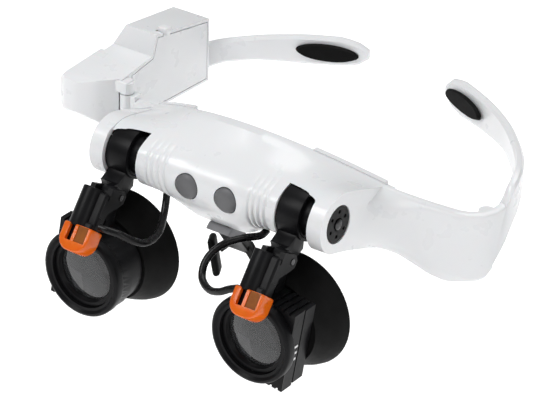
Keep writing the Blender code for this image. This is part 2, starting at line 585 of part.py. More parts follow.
def build_battery_case():
    """Case on the wearer's right, its cover on the inner face, two cells and their contacts."""
    width = BOX_IN_X - BOX_OUT_X
    outline = [(23.0, 0.6), (27.5, 2.9), (48.4, 5.6), (51.0, 12.6), (80.4, 7.8), (80.4, -15.6), (36.0, -14.2),
               (29.0, -13.6), (23.0, -8.0)]
    case = plate_from_outline("battery_case", outline, width, (BOX_OUT_X, 0, 0), WHITE)
    slant = plate_from_outline("cut_case_slant", [(-73.4, 20.0), (-95.0, 20.0), (-95.0, -5.0), (-88.9, -5.0),
                                                  (-81.6, 3.0)], 60.0, (0, 44.0, 0), None, "Y", cutter=True)
    brow = plate_from_outline("cut_case_brow", [(-80.2, 8.0), (-95.0, 8.0), (-95.0, -3.0), (-89.2, -3.0),
                                                (-84.4, 1.2)], 30.1, (0, 14.1, 0), None, "Y", cutter=True)
    lower = plate_from_outline("cut_case_low", [(-95.0, -30.0), (-67.0, -30.0), (-73.0, -15.4), (-82.0, -12.2),
                                                (-89.4, -6.6), (-95.0, -6.6)], 80.0, (0, 15.0, 0),
                               None, "Y", cutter=True)
    front = plate_from_outline("cut_case_front", [(-95.0, 12.0), (-60.0, 12.0), (-60.0, 32.4), (-65.0, 32.0),
                                                  (-71.0, 27.0), (-76.6, 24.6), (-82.6, 25.2), (-89.4, 33.4),
                                                  (-95.0, 33.4)],
                               60.0, (0, 0, -30.0), None, "Z", cutter=True)
    for cutter in (slant, brow, lower, front):
        boolean(case, cutter)
    add_bevel(case, 1.0, 2, 32)

    hx, hy = HINGE["right"]
    for k, (low, high) in enumerate(((-13.4, -9.2), (-1.2, 2.6))):
        boolean(case, cylinder(f"add_case_lug_{k}", 2.4, (hx, hy, low), high - low, "Z", None, True, 24), "UNION")
        boolean(case, box(f"add_case_web_{k}", (hx - 3.5, hy - 1.2, low), (hx, hy + 2.4, high), None, cutter=True),
                "UNION")
    boolean(case, cylinder("cut_case_hinge_room", 2.8, (hx, hy, -9.2), 8.0, "Z", None, True, 24))
    boolean(case, cylinder("cut_case_hinge_pin", 1.25, (hx, hy, -20), 30, "Z", None, True, 20))
    boolean(case, plate_from_outline("cut_case_bay", inset_profile(CELL_BAY, 1.0), 9.6, (BOX_IN_X - 8.6, 0, 0),
                                     None, cutter=True))
    deep = [(-65.3, -13.1), (-75.0, -13.1), (-78.6, -10.6), (-78.6, 2.6), (-65.3, 2.6)]
    boolean(case, plate_from_outline("cut_case_deep", deep, 43.6, (0, 35.7, 0), None, "Y", cutter=True))
    boolean(case, box("cut_latch_seat", (-67.4, 54.4, 6.8), (-60.0, 58.6, 16.0), None, cutter=True))

    cover = plate_from_outline("battery_cover", inset_profile(CELL_BAY, 1.3), 1.2, (BOX_IN_X - 1.2, 0, 0), WHITE)
    boolean(cover, box("add_latch_stem", (-65.2, 54.8, 5.0), (-64.0, 58.2, 11.6), None, cutter=True), "UNION")
    tab = box("add_latch_tab", (-66.9, 54.8, 10.9), (-62.9, 58.2, 13.6), None, 0.6, cutter=True)
    boolean(cover, tab, "UNION")

    for name, x, z in (("upper", -69.6, -1.6), ("lower", -74.0, -8.75)):
        profile = [(0, CELL_LEN), (1.4, CELL_LEN), (1.4, CELL_LEN - 1.0), (CELL_R, CELL_LEN - 1.0),
                   (CELL_R, 0.0), (0, 0.0)]
        turned(f"battery_{name}", profile, (x, 36.2, z), "Y", CELL, 24)


def build_contacts():
    """Contact plate behind the two cells."""
    box("battery_contacts", (-77.6, 78.8, -10.2), (-66.0, 79.0, 1.8), STEEL)


# ---- loupe units -------------------------------------------------------------------------------------
def build_clip(name, cx):
    """Ring on the shaft, neck down to the lens holder and knuckle forward to the lamp."""
    ring = cylinder(f"clip_{name}", RING_OUT_R, (cx - RING_LEN / 2, 0, 0), RING_LEN, "X", BLACK, False, 48)
    neck = plate_from_outline(f"add_neck_{name}", [(-6.8, -4.2), (-2.8, -7.6), (-3.2, -10.6), (-10.6, -13.8),
                                                   (-12.4, -17.6), (-17.4, -17.6), (-16.6, -11.0), (-14.6, -6.2),
                                                   (-10.8, -6.6), (-8.3, -5.2)],
                              6.8, (cx - 3.8, 0, 0), None, cutter=True)
    boolean(ring, neck, "UNION")
    lx = cx + LAMP_SHIFT
    knuckle = cylinder(f"add_knuckle_{name}", 2.9, (lx - 4.2, PIVOT_Y, PIVOT_Z), 6.4, "X", None, True, 24)
    boolean(ring, knuckle, "UNION")
    for k, sign in enumerate((-1, 1)):
        low = lx + 2.2 if sign > 0 else cx - 5.0
        high = lx + 6.0 if sign > 0 else lx - 2.2
        boolean(ring, cylinder(f"cut_cheek_{name}_{k}", 3.9, (low, PIVOT_Y, PIVOT_Z), high - low, "X", None,
                               True, 24))
    boolean(ring, cylinder(f"cut_clip_bore_{name}", RING_IN_R, (cx - 8, 0, 0), 16, "X", None, True, 48))
    boolean(ring, cylinder(f"cut_screw_hole_{name}", 1.05, (cx, -0.2, 5.0), 8.0, "Z", None, True, 16))
    boolean(ring, cylinder(f"cut_pin_bore_{name}", 1.2, (lx - 8, PIVOT_Y, PIVOT_Z), 16, "X", None, True, 16))
    add_bevel(ring, 0.35, 1, 50)
    profile = [(BUSH_R, RING_LEN - 0.1), (BUSH_R, 0.1), (SHAFT_R + 0.25, 0.1), (SHAFT_R + 0.25, RING_LEN - 0.1)]
    turned(f"slide_bush_{name}", profile, (cx - RING_LEN / 2, 0, 0), "X", BLACK, 40)


def half_round_plate(name, outer_side, cx, y, thick, half, mat):
    """Plate across the optical axis: round on the nose side, square on the outer side, leaning."""
    reach = outer_side * PLATE_OUT
    points = [(0.0, half), (reach, half), (reach, -half), (0.0, -half)]
    for k in range(1, 16):
        a = -math.pi / 2 - math.pi * k / 16
        points.append((-outer_side * abs(math.cos(a)) * half, math.sin(a) * half))
    roll = Matrix.Rotation(math.radians(-PLATE_ROLL), 2)
    rolled = [tuple(roll @ Vector(p)) for p in points]
    plate = plate_from_outline(name, rolled, thick, (cx, y, LENS_Z), mat, "Y")
    for edge in (1, -1):
        for k in range(4):
            across = outer_side * (3.8 + 2.3 * k)
            place = roll @ Vector((across, edge * half))
            turn = Matrix.Rotation(math.radians(PLATE_ROLL), 4, "Y")
            groove = box(f"cut_grip_{name}_{edge + 1}_{k}",
                         (cx + place.x - 0.45, y - 1, LENS_Z + place.y - 0.7),
                         (cx + place.x + 0.45, y + thick + 1, LENS_Z + place.y + 0.7), None, cutter=True, turn=turn)
            boolean(plate, groove)
    return plate


def build_loupe(side, name, cx):
    cartridge = half_round_plate(f"lens_cartridge_{name}", side, cx, PLATE_Y, PLATE_T, PLATE_HALF, BLACK)
    barrel = cylinder(f"add_barrel_{name}", BARREL_R, (cx, BARREL_FRONT_Y, LENS_Z),
                      PLATE_Y - BARREL_FRONT_Y + 1.0, "Y", None, True, 48)
    add_bevel(barrel, 1.2, 2)
    boolean(cartridge, barrel, "UNION")
    boolean(cartridge, cylinder(f"cut_barrel_bore_{name}", BORE_R, (cx, BARREL_FRONT_Y - 3, LENS_Z), 14, "Y", None, True, 48))

    holder = half_round_plate(f"lens_holder_{name}", side, cx, HOLDER_Y, PLATE_T, PLATE_HALF - 0.6, BLACK)
    foot = box(f"add_foot_{name}", (cx - 3.6, HOLDER_Y + 0.2, LENS_Z + 12.6), (cx + 2.8, HOLDER_Y + PLATE_T, -17.6 - GAP),
               None, cutter=True)
    boolean(holder, foot, "UNION")
    boolean(holder, cylinder(f"cut_holder_bore_{name}", BORE_R, (cx, HOLDER_Y - 3, LENS_Z), 12, "Y", None, True, 48))

    span = CUP_RIM_Y - CUP_FRONT_Y
    wall = 1.3
    outer = [(blend(14.6, CUP_RIM_R, 0.55 * smooth_step(k / 6, 0, 1.0) + 0.45 * k / 6), span * k / 6)
             for k in range(7)]
    inner = [(r - wall, h) for r, h in outer]
    inner[0] = (inner[0][0], 0.0)
    profile = list(reversed(outer)) + inner
    turned(f"eyecup_{name}", profile, (cx, CUP_FRONT_Y, LENS_Z), "Y", RUBBER, 32)

    front = [(0, 2.6), (4, 2.35), (8, 1.6), (BORE_R - GAP, 0.6), (BORE_R - GAP, 0.0), (0, 0.0)]
    turned(f"front_lens_{name}", front, (cx, BARREL_FRONT_Y + 4.6, LENS_Z), "-Y", GLASS, 36)
    rear = [(0, 2.0), (8, 1.2), (BORE_R - GAP, 0.4), (BORE_R - GAP, -0.6), (0, -0.6)]
    turned(f"rear_lens_{name}", rear, (cx, BARREL_FRONT_Y + 6.2, LENS_Z), "Y", GLASS, 36)
    ring = [(BORE_R - GAP, 1.2), (BORE_R - GAP, 0.0), (BORE_R - 2.0, 0.0), (BORE_R - 1.4, 1.2)]
    turned(f"retaining_ring_{name}", ring, (cx, BARREL_FRONT_Y + 3.4, LENS_Z), "-Y", BLACK, 36)


def build_lamp(side, name, cx):
    """Lamp housing with two ears on the pin, a clear orange cap and the lamp itself."""
    lx = cx + LAMP_SHIFT
    lean = Matrix.Rotation(math.radians(-LAMP_TILT), 4, "X")
    pivot = vec(lx, PIVOT_Y, PIVOT_Z)

    def place(obj):
        obj.matrix_local = Matrix.Translation(pivot) @ lean
        return obj

    body = place(box(f"lamp_housing_{name}", (-6.0, -9.8, -12.6), (2.4, -3.4, -0.4), BLACK))
    add_bevel(body, 2.4, 3, 60)
    for k, x0 in enumerate((-4.3, 2.5)):
        ear = place(plate_from_outline(f"add_ear_{name}_{k}", [(-6.0, 1.4), (0.4, 2.5), (2.4, 1.0), (2.4, -1.4),
                                                               (0.2, -3.4), (-6.0, -8.0)],
                                       1.8, (x0, 0, 0), None, cutter=True))
        boolean(body, ear, "UNION")
    bridge = place(box(f"add_ear_bridge_{name}", (-1.0, -7.4, -8.6), (4.3, -3.9, -2.6), None, cutter=True))
    boolean(body, bridge, "UNION")
    nose = place(box(f"add_lamp_nose_{name}", (-3.6, -8.6, -19.4), (3.6, -4.6, -11.0), None, 0.8, cutter=True))
    boolean(body, nose, "UNION")
    boolean(body, place(cylinder(f"cut_knuckle_gap_{name}", 3.3, (-2.5, 0, 0), 5.0, "X", None, True, 24)))
    boolean(body, place(cylinder(f"cut_lamp_pin_{name}", 1.2, (-8, 0, 0), 16, "X", None, True, 16)))
    boolean(body, place(cylinder(f"cut_lamp_well_{name}", 1.75, (0, -6.6, -21.0), 8.0, "Z", None, True, 20)))

    cap = place(box(f"lamp_cap_{name}", (-5.4, -10.2, -21.6), (5.4, -3.3, -12.9), ORANGE, 2.0))
    cap.modifiers["round_edges"].segments = 4
    boolean(cap, place(box(f"cut_cap_room_{name}", (-3.9, -8.9, -19.8), (3.9, -4.3, -10.0), None, cutter=True)))
    boolean(cap, place(box(f"cut_cap_slot_{name}", (-3.0, -12.0, -18.4), (-0.8, -8.0, -10.0), None, cutter=True)))

    led = [(0, 4.6), (0.8, 4.3), (1.4, 3.4), (1.5, 0.0), (0, 0.0)]
    led_obj = turned(f"led_{name}", led, (0, 0, 0), "Z", LED, 16)
    flip = Matrix.Rotation(math.pi, 4, "X")
    led_obj.matrix_local = Matrix.Translation(pivot) @ lean @ Matrix.Translation(vec(0, -6.6, -14.8)) @ flip
    cylinder(f"lamp_pin_{name}", 1.0, (lx - 4.5, PIVOT_Y, PIVOT_Z), 9.0, "X", STEEL, False, 16)


# ---- cables ------------------------------------------------------------------------------------------
CABLE_R = 1.2
CABLE_ROUTES = {
    "left": [(19.5, -1.8, -9.6), (18.9, -4.6, -10.6), (16.4, -10.0, -9.9), (13.2, -14.6, -10.7),
             (10.8, -18.2, -13.0), (9.9, -21.2, -16.0), (11.0, -24.0, -18.9), (13.8, -26.2, -20.2),
             (17.4, -27.8, -20.2), (21.4, -28.8, -18.6), (24.9, -28.8, -16.5), (27.9, -28.4, -15.3)],
    "right": [(-19.5, -1.8, -9.6), (-19.0, -3.0, -12.4), (-17.6, -6.0, -15.6), (-15.6, -10.6, -17.8),
              (-14.9, -15.2, -18.9), (-15.6, -19.2, -18.6), (-17.8, -22.6, -16.8), (-20.6, -25.0, -14.6),
              (-23.8, -26.6, -13.6), (-26.75, -27.0, -13.4)],
}


def build_cable(name):
    points = catmull(CABLE_ROUTES[name], 3)
    curve = bpy.data.curves.new(f"cable_{name}", "CURVE")
    curve.dimensions = "3D"
    curve.bevel_depth = CABLE_R * MM
    curve.bevel_resolution = 2
    curve.use_fill_caps = True
    spline = curve.splines.new("POLY")
    spline.points.add(len(points) - 1)
    for target, p in zip(spline.points, points):
        target.co = (*(p * MM), 1.0)
    obj = bpy.data.objects.new(f"cable_{name}", curve)
    PARTS.objects.link(obj)
    curve.materials.append(CABLE)
    obj.parent = FRAME


# ---- assembly ----------------------------------------------------------------------------------------
def build():
    build_shell()
    build_rear_cover()
    build_electronics()
    build_nose()
    for side, name in ((1, "left"), (-1, "right")):
        build_shaft(side, name)
        build_end_cap(side, name)
        build_button(side, name)
        cx = CLIP_X[name]
        build_clip(name, cx)
        build_loupe(side, name, cx)
        build_lamp(side, name, cx)
        build_cable(name)
        hx, hy = HINGE[name]
        pin_low, pin_len = (-24.4, 17.0) if side > 0 else (-13.0, 15.2)
        cylinder(f"hinge_pin_{name}", 0.95, (hx, hy, pin_low), pin_len, "Z", STEEL, False, 16)
        cylinder(f"set_screw_{name}", 0.9, (cx, -0.2, RING_OUT_R - 0.55), 0.9, "Z", STEEL, False, 12)
    build_left_arm()
    build_right_arm()
    build_battery_case()
    build_contacts()


build()
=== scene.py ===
"""Head visor magnifier: the visible pieces and their finishes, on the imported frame."""
import json
import math

import bmesh
import bpy
from mathutils import Matrix, Vector

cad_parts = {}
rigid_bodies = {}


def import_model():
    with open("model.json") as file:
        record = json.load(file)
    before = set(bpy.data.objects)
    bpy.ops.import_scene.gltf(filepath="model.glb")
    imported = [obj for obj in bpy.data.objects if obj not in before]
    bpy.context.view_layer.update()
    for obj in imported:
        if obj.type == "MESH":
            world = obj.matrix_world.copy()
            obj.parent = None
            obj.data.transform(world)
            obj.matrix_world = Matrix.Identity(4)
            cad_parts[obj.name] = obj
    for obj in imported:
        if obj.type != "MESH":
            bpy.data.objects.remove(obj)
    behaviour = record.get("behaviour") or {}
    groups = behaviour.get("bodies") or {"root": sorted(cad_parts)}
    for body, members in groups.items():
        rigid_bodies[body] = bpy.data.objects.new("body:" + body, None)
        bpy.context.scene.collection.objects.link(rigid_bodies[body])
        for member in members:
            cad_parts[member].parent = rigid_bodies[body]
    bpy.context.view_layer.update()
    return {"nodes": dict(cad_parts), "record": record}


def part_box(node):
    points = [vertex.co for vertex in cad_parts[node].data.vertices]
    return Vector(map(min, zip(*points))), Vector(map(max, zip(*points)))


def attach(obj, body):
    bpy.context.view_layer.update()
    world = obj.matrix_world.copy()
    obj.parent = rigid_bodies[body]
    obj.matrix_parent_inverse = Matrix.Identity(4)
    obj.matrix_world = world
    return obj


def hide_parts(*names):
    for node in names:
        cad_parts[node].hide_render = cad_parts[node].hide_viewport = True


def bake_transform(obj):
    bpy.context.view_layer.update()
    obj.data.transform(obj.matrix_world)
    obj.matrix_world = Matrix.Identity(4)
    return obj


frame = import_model()

# Sizes are in millimetres in the visor frame, whose origin is on the line through the two clip rings.
MM = 0.001
SCENE = bpy.context.scene
FINE = 2.4                           # how much finer the visible pieces are cut than the frame
TOOL_SIDES = 20                      # tools with fewer sides than this aren't cut finer
SIDES = {"left": 1, "right": -1}
NOSE_REST = (0.0, 10.0, -32.0)       # middle of the nose pads' contact, the part's origin
NECK_FOOT_Z = -17.6                  # foot of the clip's neck, where the lens holder starts
GAP = 0.3                            # clearance between touching pieces

CREST_Z = 15.7                       # top edge of the visor at the middle
CREST_DROP = 0.0063                  # fall of the crest per mm squared away from the middle
BAND_Y = 10.0                        # front of the brow band at the middle
BAND_SWEEP = 0.0066                  # backward sweep of the band per mm squared
BAND_T = 3.2                         # thickness of the band
BULGE_R = 8.9                        # round belly of the visor about the clip line
BELLY_END = (8.0, 24.0)              # the belly turns from its middle section to round over this stretch
CREST_KNEE, CREST_FALL = 45.0, 0.44  # beyond the knee the crest falls in a straight line
GROOVES = [16.3, 18.5, 20.7, 22.9]   # middles of the finger grooves beside each notch
GROOVE_HALF, GROOVE_DEPTH = 0.8, 0.5
SHELL_WALL = 1.7
NOTCH_X = (26.7, 39.3)               # the two gaps that the clips sit in
NOTCH_R = 8.8
LOBE_X = 44.6                        # outer face of the round end bosses
LOBE_R = 9.6
WING_X = {"left": 64.0, "right": -60.2}   # last upright section of each wing

SHAFT_R = 6.5
JOURNAL_R = 5.6
JOURNAL_LEN = 3.1                    # length of each thin end of a shaft
SHAFT_LEN = 18.7
DISC_X, DISC_R, DISC_T = 43.0, 5.95, 1.5     # dark disc in the outer face of each boss
DISC_HOLES, DISC_HOLE_R, DISC_RING_R = 6, 0.65, 4.1
RING_IN_R = 7.5
RING_OUT_R = 8.4
RING_LEN = 8.2
CLIP_X = {"left": 31.1, "right": -34.9}     # clip centres: left pushed in, right pulled out

LENS_Z = -33.6                       # height of the optical axes
BARREL_FRONT_Y = -26.8
BARREL_R = 14.7
BORE_R = 11.8
LENS_R = BORE_R - GAP
PLATE_T = 5.2
PLATE_HALF = 14.4
PLATE_OUT = 12.6                     # reach of the square side of the plates
PLATE_ROLL = 9.0                     # lean of the lens plates about the optical axis, degrees
PLATE_LEAN = Matrix.Rotation(math.radians(PLATE_ROLL), 4, "Y")
GRIPS, GRIP_START, GRIP_STEP = 4, 3.8, 2.3          # grip grooves in the plates' edges
GRIP_HALF, GRIP_DEPTH = 0.45, 0.7
STROKES, STROKE_START, STROKE_STEP = 3, -3.4, 2.4   # plain white strokes on the lens plate's side
STROKE_HALF = (0.1, 1.8, 0.38)
PLATE_Y = -23.4                      # front face of the lens plate
HOLDER_Y = -17.6                     # front face of the holder plate
CUP_FRONT_Y = -12.1
CUP_RIM_Y = -0.6
CUP_RIM_R = 19.6
CUP_FRONT_R = 14.6
CUP_WALL = 1.3

PIVOT_Y, PIVOT_Z = -14.6, -8.8       # pin that the lamp tilts on
LAMP_TILT = 38.0                     # forward lean of the lamp, degrees
LAMP_SHIFT = 2.8                     # the lamp stands this far to the wearer's left of the clip
LAMP_PIN_BORE_R = 1.2
CAP_HALF, CAP_TOP, CAP_FOOT = 5.4, -12.9, -21.6     # half width, top and foot of the lamp cap
CAP_FRONT, CAP_DEPTH, CAP_CORNER_R = -10.4, 6.9, 4.4

BUTTON_X, BUTTON_Z = 7.5, -0.9
BUTTON_R = 4.1

BOX_IN_X, BOX_OUT_X = -64.0, -88.0   # battery case, inner and outer faces
HINGE = {"left": (69.2, 46.6), "right": (-62.9, 33.6)}   # where the arms fold, seen from above
HINGE_BORE_R = 1.25
POCKET_R = 3.1                       # room turned round the left arm's barrel and lugs
LUG_R = 2.4                          # lugs and barrel of the right hinge
COVER_T = 1.2
ARM_T = 3.0                          # thickness of the head arms


# ---- camera and collections ------------
CAM_AZ, CAM_EL, CAM_ROLL = math.radians(35.012), math.radians(28.494), math.radians(1.374)
CAM_PLACE = Vector((0.5161, -0.7215, 0.5031))
CAM_LENS = 216.1
SENSOR = 36.0

back = Vector((math.sin(CAM_AZ) * math.cos(CAM_EL), -math.cos(CAM_AZ) * math.cos(CAM_EL), math.sin(CAM_EL)))
right = Vector((math.cos(CAM_AZ), math.sin(CAM_AZ), 0.0))
up = back.cross(right)
right_rolled = right * math.cos(CAM_ROLL) + up * math.sin(CAM_ROLL)
up_rolled = up * math.cos(CAM_ROLL) - right * math.sin(CAM_ROLL)
camera_data = bpy.data.cameras.new("camera")
camera_data.lens = CAM_LENS
camera_data.sensor_width = SENSOR
camera_data.sensor_fit = "HORIZONTAL"
camera_data.clip_start = 0.05
camera_data.clip_end = 20.0
camera = bpy.data.objects.new("camera", camera_data)
SCENE.collection.objects.link(camera)
turn = Matrix((right_rolled, up_rolled, back)).transposed().to_4x4()
camera.matrix_world = Matrix.Translation(CAM_PLACE) @ turn
SCENE.camera = camera

PARTS = bpy.data.collections.new("visible_pieces")
CUTTERS = bpy.data.collections.new("cutters")
SCENE.collection.children.link(PARTS)
SCENE.collection.children.link(CUTTERS)
FRAME = bpy.data.objects.new("visor_frame", None)
FRAME.location = [-c * MM for c in NOSE_REST]
PARTS.objects.link(FRAME)


# ---- modelling helpers ------------
def vec(x, y, z):
    return Vector((x, y, z)) * MM


def is_tool(name):
    """Solids named cut_... or add_... only shape other pieces."""
    return name.startswith(("cut_", "add_"))


def new_object(name, mesh):
    obj = bpy.data.objects.new(name, mesh)
    if is_tool(name):
        CUTTERS.objects.link(obj)
        obj.hide_render = True
        obj.display_type = "WIRE"
    else:
        PARTS.objects.link(obj)
    obj.parent = FRAME
    obj["node"] = name
    return obj


def mesh_from_bmesh(name, bm):
    bmesh.ops.recalc_face_normals(bm, faces=bm.faces)
    mesh = bpy.data.meshes.new(name)
    bm.to_mesh(mesh)
    bm.free()
    return mesh


def box(name, low, high, bevel=0.0, turn=None):
    """A box between two corners; turn is an optional matrix about the box's middle."""
    bm = bmesh.new()
    bmesh.ops.create_cube(bm, size=1.0)
    low, high = vec(*low), vec(*high)
    bmesh.ops.scale(bm, vec=high - low, verts=bm.verts)
    if turn is not None:
        bmesh.ops.transform(bm, matrix=turn, verts=bm.verts)
    bmesh.ops.translate(bm, vec=(low + high) / 2, verts=bm.verts)
    obj = new_object(name, mesh_from_bmesh(name, bm))
    if bevel:
        add_bevel(obj, bevel)
    return obj


def add_bevel(obj, width, segments=2, angle=35.0):
    mod = obj.modifiers.new("round_edges", "BEVEL")
    mod.width = width * MM
    mod.segments = segments + 2
    mod.limit_method = "ANGLE"
    mod.angle_limit = math.radians(angle)
    mod.use_clamp_overlap = True


AXIS_TURN = {
    "X": Matrix.Rotation(math.radians(90), 4, "Y"),
    "-X": Matrix.Rotation(math.radians(-90), 4, "Y"),
    "-Y": Matrix.Rotation(math.radians(90), 4, "X"),
    "Y": Matrix.Rotation(math.radians(-90), 4, "X"),
    "Z": Matrix.Identity(4),
}


def cylinder(name, radius, start, length, axis, sides=40, bevel=0.0, radius2=None):
    """A cylinder or cone from start along axis."""
    bm = bmesh.new()
    top = radius if radius2 is None else radius2
    count = sides if is_tool(name) and sides < TOOL_SIDES else int(sides * FINE)
    bmesh.ops.create_cone(bm, cap_ends=True, segments=count, radius1=radius * MM, radius2=top * MM,
                          depth=length * MM)
    bmesh.ops.translate(bm, vec=(0, 0, length * MM / 2), verts=bm.verts)
    bmesh.ops.transform(bm, matrix=AXIS_TURN[axis], verts=bm.verts)
    bmesh.ops.translate(bm, vec=vec(*start), verts=bm.verts)
    obj = new_object(name, mesh_from_bmesh(name, bm))
    obj.data.shade_smooth()
    obj.data.set_sharp_from_angle(angle=math.radians(40))
    if bevel:
        add_bevel(obj, bevel)
    return obj


def turned(name, profile, origin, axis, steps=40):
    """A turned piece: profile is a list of (radius, height) run down the outer side, spun about axis."""
    mesh = bpy.data.meshes.new(name)
    verts = [vec(r, 0, h) for r, h in profile]
    on_axis = profile[0][0] == 0
    count = len(verts)
    edges = [(i, i + 1) for i in range(count - 1)]
    if not on_axis:
        edges.append((count - 1, 0))
    mesh.from_pydata(verts, edges, [])
    obj = new_object(name, mesh)
    obj.matrix_local = Matrix.Translation(vec(*origin)) @ AXIS_TURN[axis]
    screw = obj.modifiers.new("turn", "SCREW")
    screw.axis = "Z"
    screw.steps = int(steps * FINE)
    screw.render_steps = int(steps * FINE)
    screw.use_merge_vertices = True
    screw.merge_threshold = 0.00001
    screw.use_smooth_shade = True
    return obj


def slab(name, points, depth, origin, axis="X", bevel=0.0):
    """A flat outline given as (y, z) for axis X, (x, z) for axis Y or (x, y) for axis Z."""
    bm = bmesh.new()
    place = {"X": lambda a, b: (0, a, b), "Y": lambda a, b: (a, 0, b), "Z": lambda a, b: (a, b, 0)}
    verts = [bm.verts.new(vec(*place[axis](a, b))) for a, b in points]
    face = bm.faces.new(verts)
    step = {"X": (depth, 0, 0), "Y": (0, depth, 0), "Z": (0, 0, depth)}[axis]
    grown = bmesh.ops.extrude_face_region(bm, geom=[face])
    moved = [item for item in grown["geom"] if isinstance(item, bmesh.types.BMVert)]
    bmesh.ops.translate(bm, vec=vec(*step), verts=moved)
    bmesh.ops.translate(bm, vec=vec(*origin), verts=bm.verts)
    obj = new_object(name, mesh_from_bmesh(name, bm))
    if bevel:
        add_bevel(obj, bevel)
    return obj


def loft(name, rings):
    """A closed skin through rings that all have the same number of points."""
    bm = bmesh.new()
    rows = [[bm.verts.new(vec(*p)) for p in ring] for ring in rings]
    count = len(rows[0])
    for a, b in zip(rows, rows[1:]):
        for i in range(count):
            j = (i + 1) % count
            bm.faces.new((a[i], a[j], b[j], b[i]))
    bm.faces.new(rows[0])
    bm.faces.new(reversed(rows[-1]))
    obj = new_object(name, mesh_from_bmesh(name, bm))
    obj.data.shade_smooth()
    obj.data.set_sharp_from_angle(angle=math.radians(38))
    return obj


def boolean(obj, other, operation="DIFFERENCE"):
    mod = obj.modifiers.new(operation.lower(), "BOOLEAN")
    mod.operation = operation
    mod.object = other
    mod.solver = "EXACT"


def cut(obj, *tools):
    for tool in tools:
        boolean(obj, tool)


def join(obj, *tools):
    for tool in tools:
        boolean(obj, tool, "UNION")


def smooth_step(value, low, high):
    t = min(max((value - low) / (high - low), 0.0), 1.0)
    return t * t * (3 - 2 * t)


def blend(a, b, t):
    return a + (b - a) * t


def through(points, x):
    """Straight-line reading of a short list of (x, value) pairs, flat beyond its ends."""
    if x <= points[0][0]:
        return points[0][1]
    for (x0, v0), (x1, v1) in zip(points, points[1:]):
        if x <= x1:
            return blend(v0, v1, (x - x0) / (x1 - x0))
    return points[-1][1]


def catmull(points, samples):
    """A smooth open curve through points, samples per span."""
    pts = [Vector(p) for p in points]
    ends = [pts[0] * 2 - pts[1]] + pts + [pts[-1] * 2 - pts[-2]]
    curve = []
    for i in range(1, len(ends) - 2):
        p0, p1, p2, p3 = ends[i - 1:i + 3]
        for k in range(samples):
            t = k / samples
            curve.append(0.5 * ((2 * p1) + (p2 - p0) * t + (2 * p0 - 5 * p1 + 4 * p2 - p3) * t * t
                                + (3 * p1 - p0 - 3 * p2 + p3) * t ** 3))
    curve.append(pts[-1])
    return curve


# ---- visor shell ------------
def crest_z(x):
    near = CREST_Z - CREST_DROP * min(abs(x), CREST_KNEE) ** 2
    return near - CREST_FALL * max(abs(x) - CREST_KNEE, 0.0)


def band_y(x):
    return BAND_Y + BAND_SWEEP * x * x


WING_BOTTOM = [(36, -17.6), (42, -17.3), (46, -18.4), (50, -20.2), (54, -23.4), (58, -27.0), (62, -29.6),
               (66, -30.3), (70, -28.0)]
WING_NOSE = [(44.7, 9.5), (46, 14.0), (48, 18.5), (51, 23.5), (55, 28.0), (60, 32.6), (64, 36.0), (70, 41.4)]


def belly_front(x, inset):
    """Front outline of the middle body at x, crest to bottom lip, drawn in by inset."""
    end = smooth_step(abs(x), *BELLY_END)
    r = BULGE_R - inset
    slope_top = (band_y(x) - 1.2 + inset * 0.4, crest_z(x) - inset * 0.9)
    slope_mid = (blend(1.8, 1.4, end) + inset * 0.6, blend(9.9, 9.3, end) - inset * 0.8)
    middle = [(-4.4 + inset * 0.6, 6.3 - inset * 0.7),
              (-7.1 + inset * 0.9, 3.0 - inset * 0.3),
              (-7.8 + inset, -1.0),
              (-7.3 + inset, -4.8 + inset * 0.2),
              (-5.4 + inset, -8.2 + inset * 0.4),
              (-2.6 + inset * 0.6, -12.0 + inset),
              (0.6 + inset * 0.3, -15.2 + inset)]
    angles = (45, 20, -5, -31, -57, -80, -103)
    round_end = [(-r * math.cos(math.radians(a)), r * math.sin(math.radians(a))) for a in angles]
    belly = [(blend(m[0], e[0], end), blend(m[1], e[1], end)) for m, e in zip(middle, round_end)]
    return [slope_top, slope_mid] + belly


def shell_ring(x):
    """Closed outline of the shell at x as (x, y, z) points: front side down, rear side up."""
    back = band_y(x) + BAND_T
    ax = abs(x)
    if ax <= NOTCH_X[1] + 0.01:
        front = belly_front(x, 0.0)
        near = min(abs(ax - groove) for groove in GROOVES)
        if near < GROOVE_HALF:
            dip = 0.5 + 0.5 * math.cos(math.pi * near / GROOVE_HALF)
            for k, share in enumerate((0.35, 1.0, 1.15, 1.2, 1.2, 1.1, 0.5)):
                y, z = front[2 + k]
                keep = 1.0 - GROOVE_DEPTH * 1.25 * share * dip / BULGE_R
                front[2 + k] = (y * keep, z * keep)
        low = blend(-15.4, -9.2, smooth_step(ax, *BELLY_END))
        low = blend(low, -17.4, smooth_step(ax, 24.0, 34.0))
        rear = [(band_y(x) * 0.62, blend(low, -9.6, 0.25)), (back - 1.4, low), (back, low + 1.6)]
    elif ax <= LOBE_X + 0.01:
        r = LOBE_R
        angles = (62, 35, 10, -15, -40, -65, -92)
        lobe = [(-r * math.cos(math.radians(a)), r * math.sin(math.radians(a))) for a in angles]
        front = [(band_y(x) - 1.2, crest_z(x)), (4.0, 9.4)] + lobe
        rear = [(9.0, -12.4), (back - 1.4, -17.4), (back, -15.8)]
    else:
        top, low = crest_z(x), through(WING_BOTTOM, ax)
        nose = through(WING_NOSE, ax)
        edge = band_y(x)
        height = top - low
        front = [(edge + 0.6, top), (edge - 0.6, top - 0.6)]
        for k in range(7):
            t = (k + 0.6) / 7.2
            swell = math.sin(math.pi * t) ** 0.6
            front.append((blend(edge - 0.9, nose - 0.4, swell), top - 1.0 - (height - 2.0) * t))
        rear = [(edge - 0.4, low + 0.1), (edge + 1.4, low), (back, low + 1.6)]
    rear_top = [(back, 0.5 * (rear[-1][1] + crest_z(x))), (back, crest_z(x) - 1.0), (back - 1.0, crest_z(x))]
    return [(x, y, z) for y, z in front + rear + rear_top]


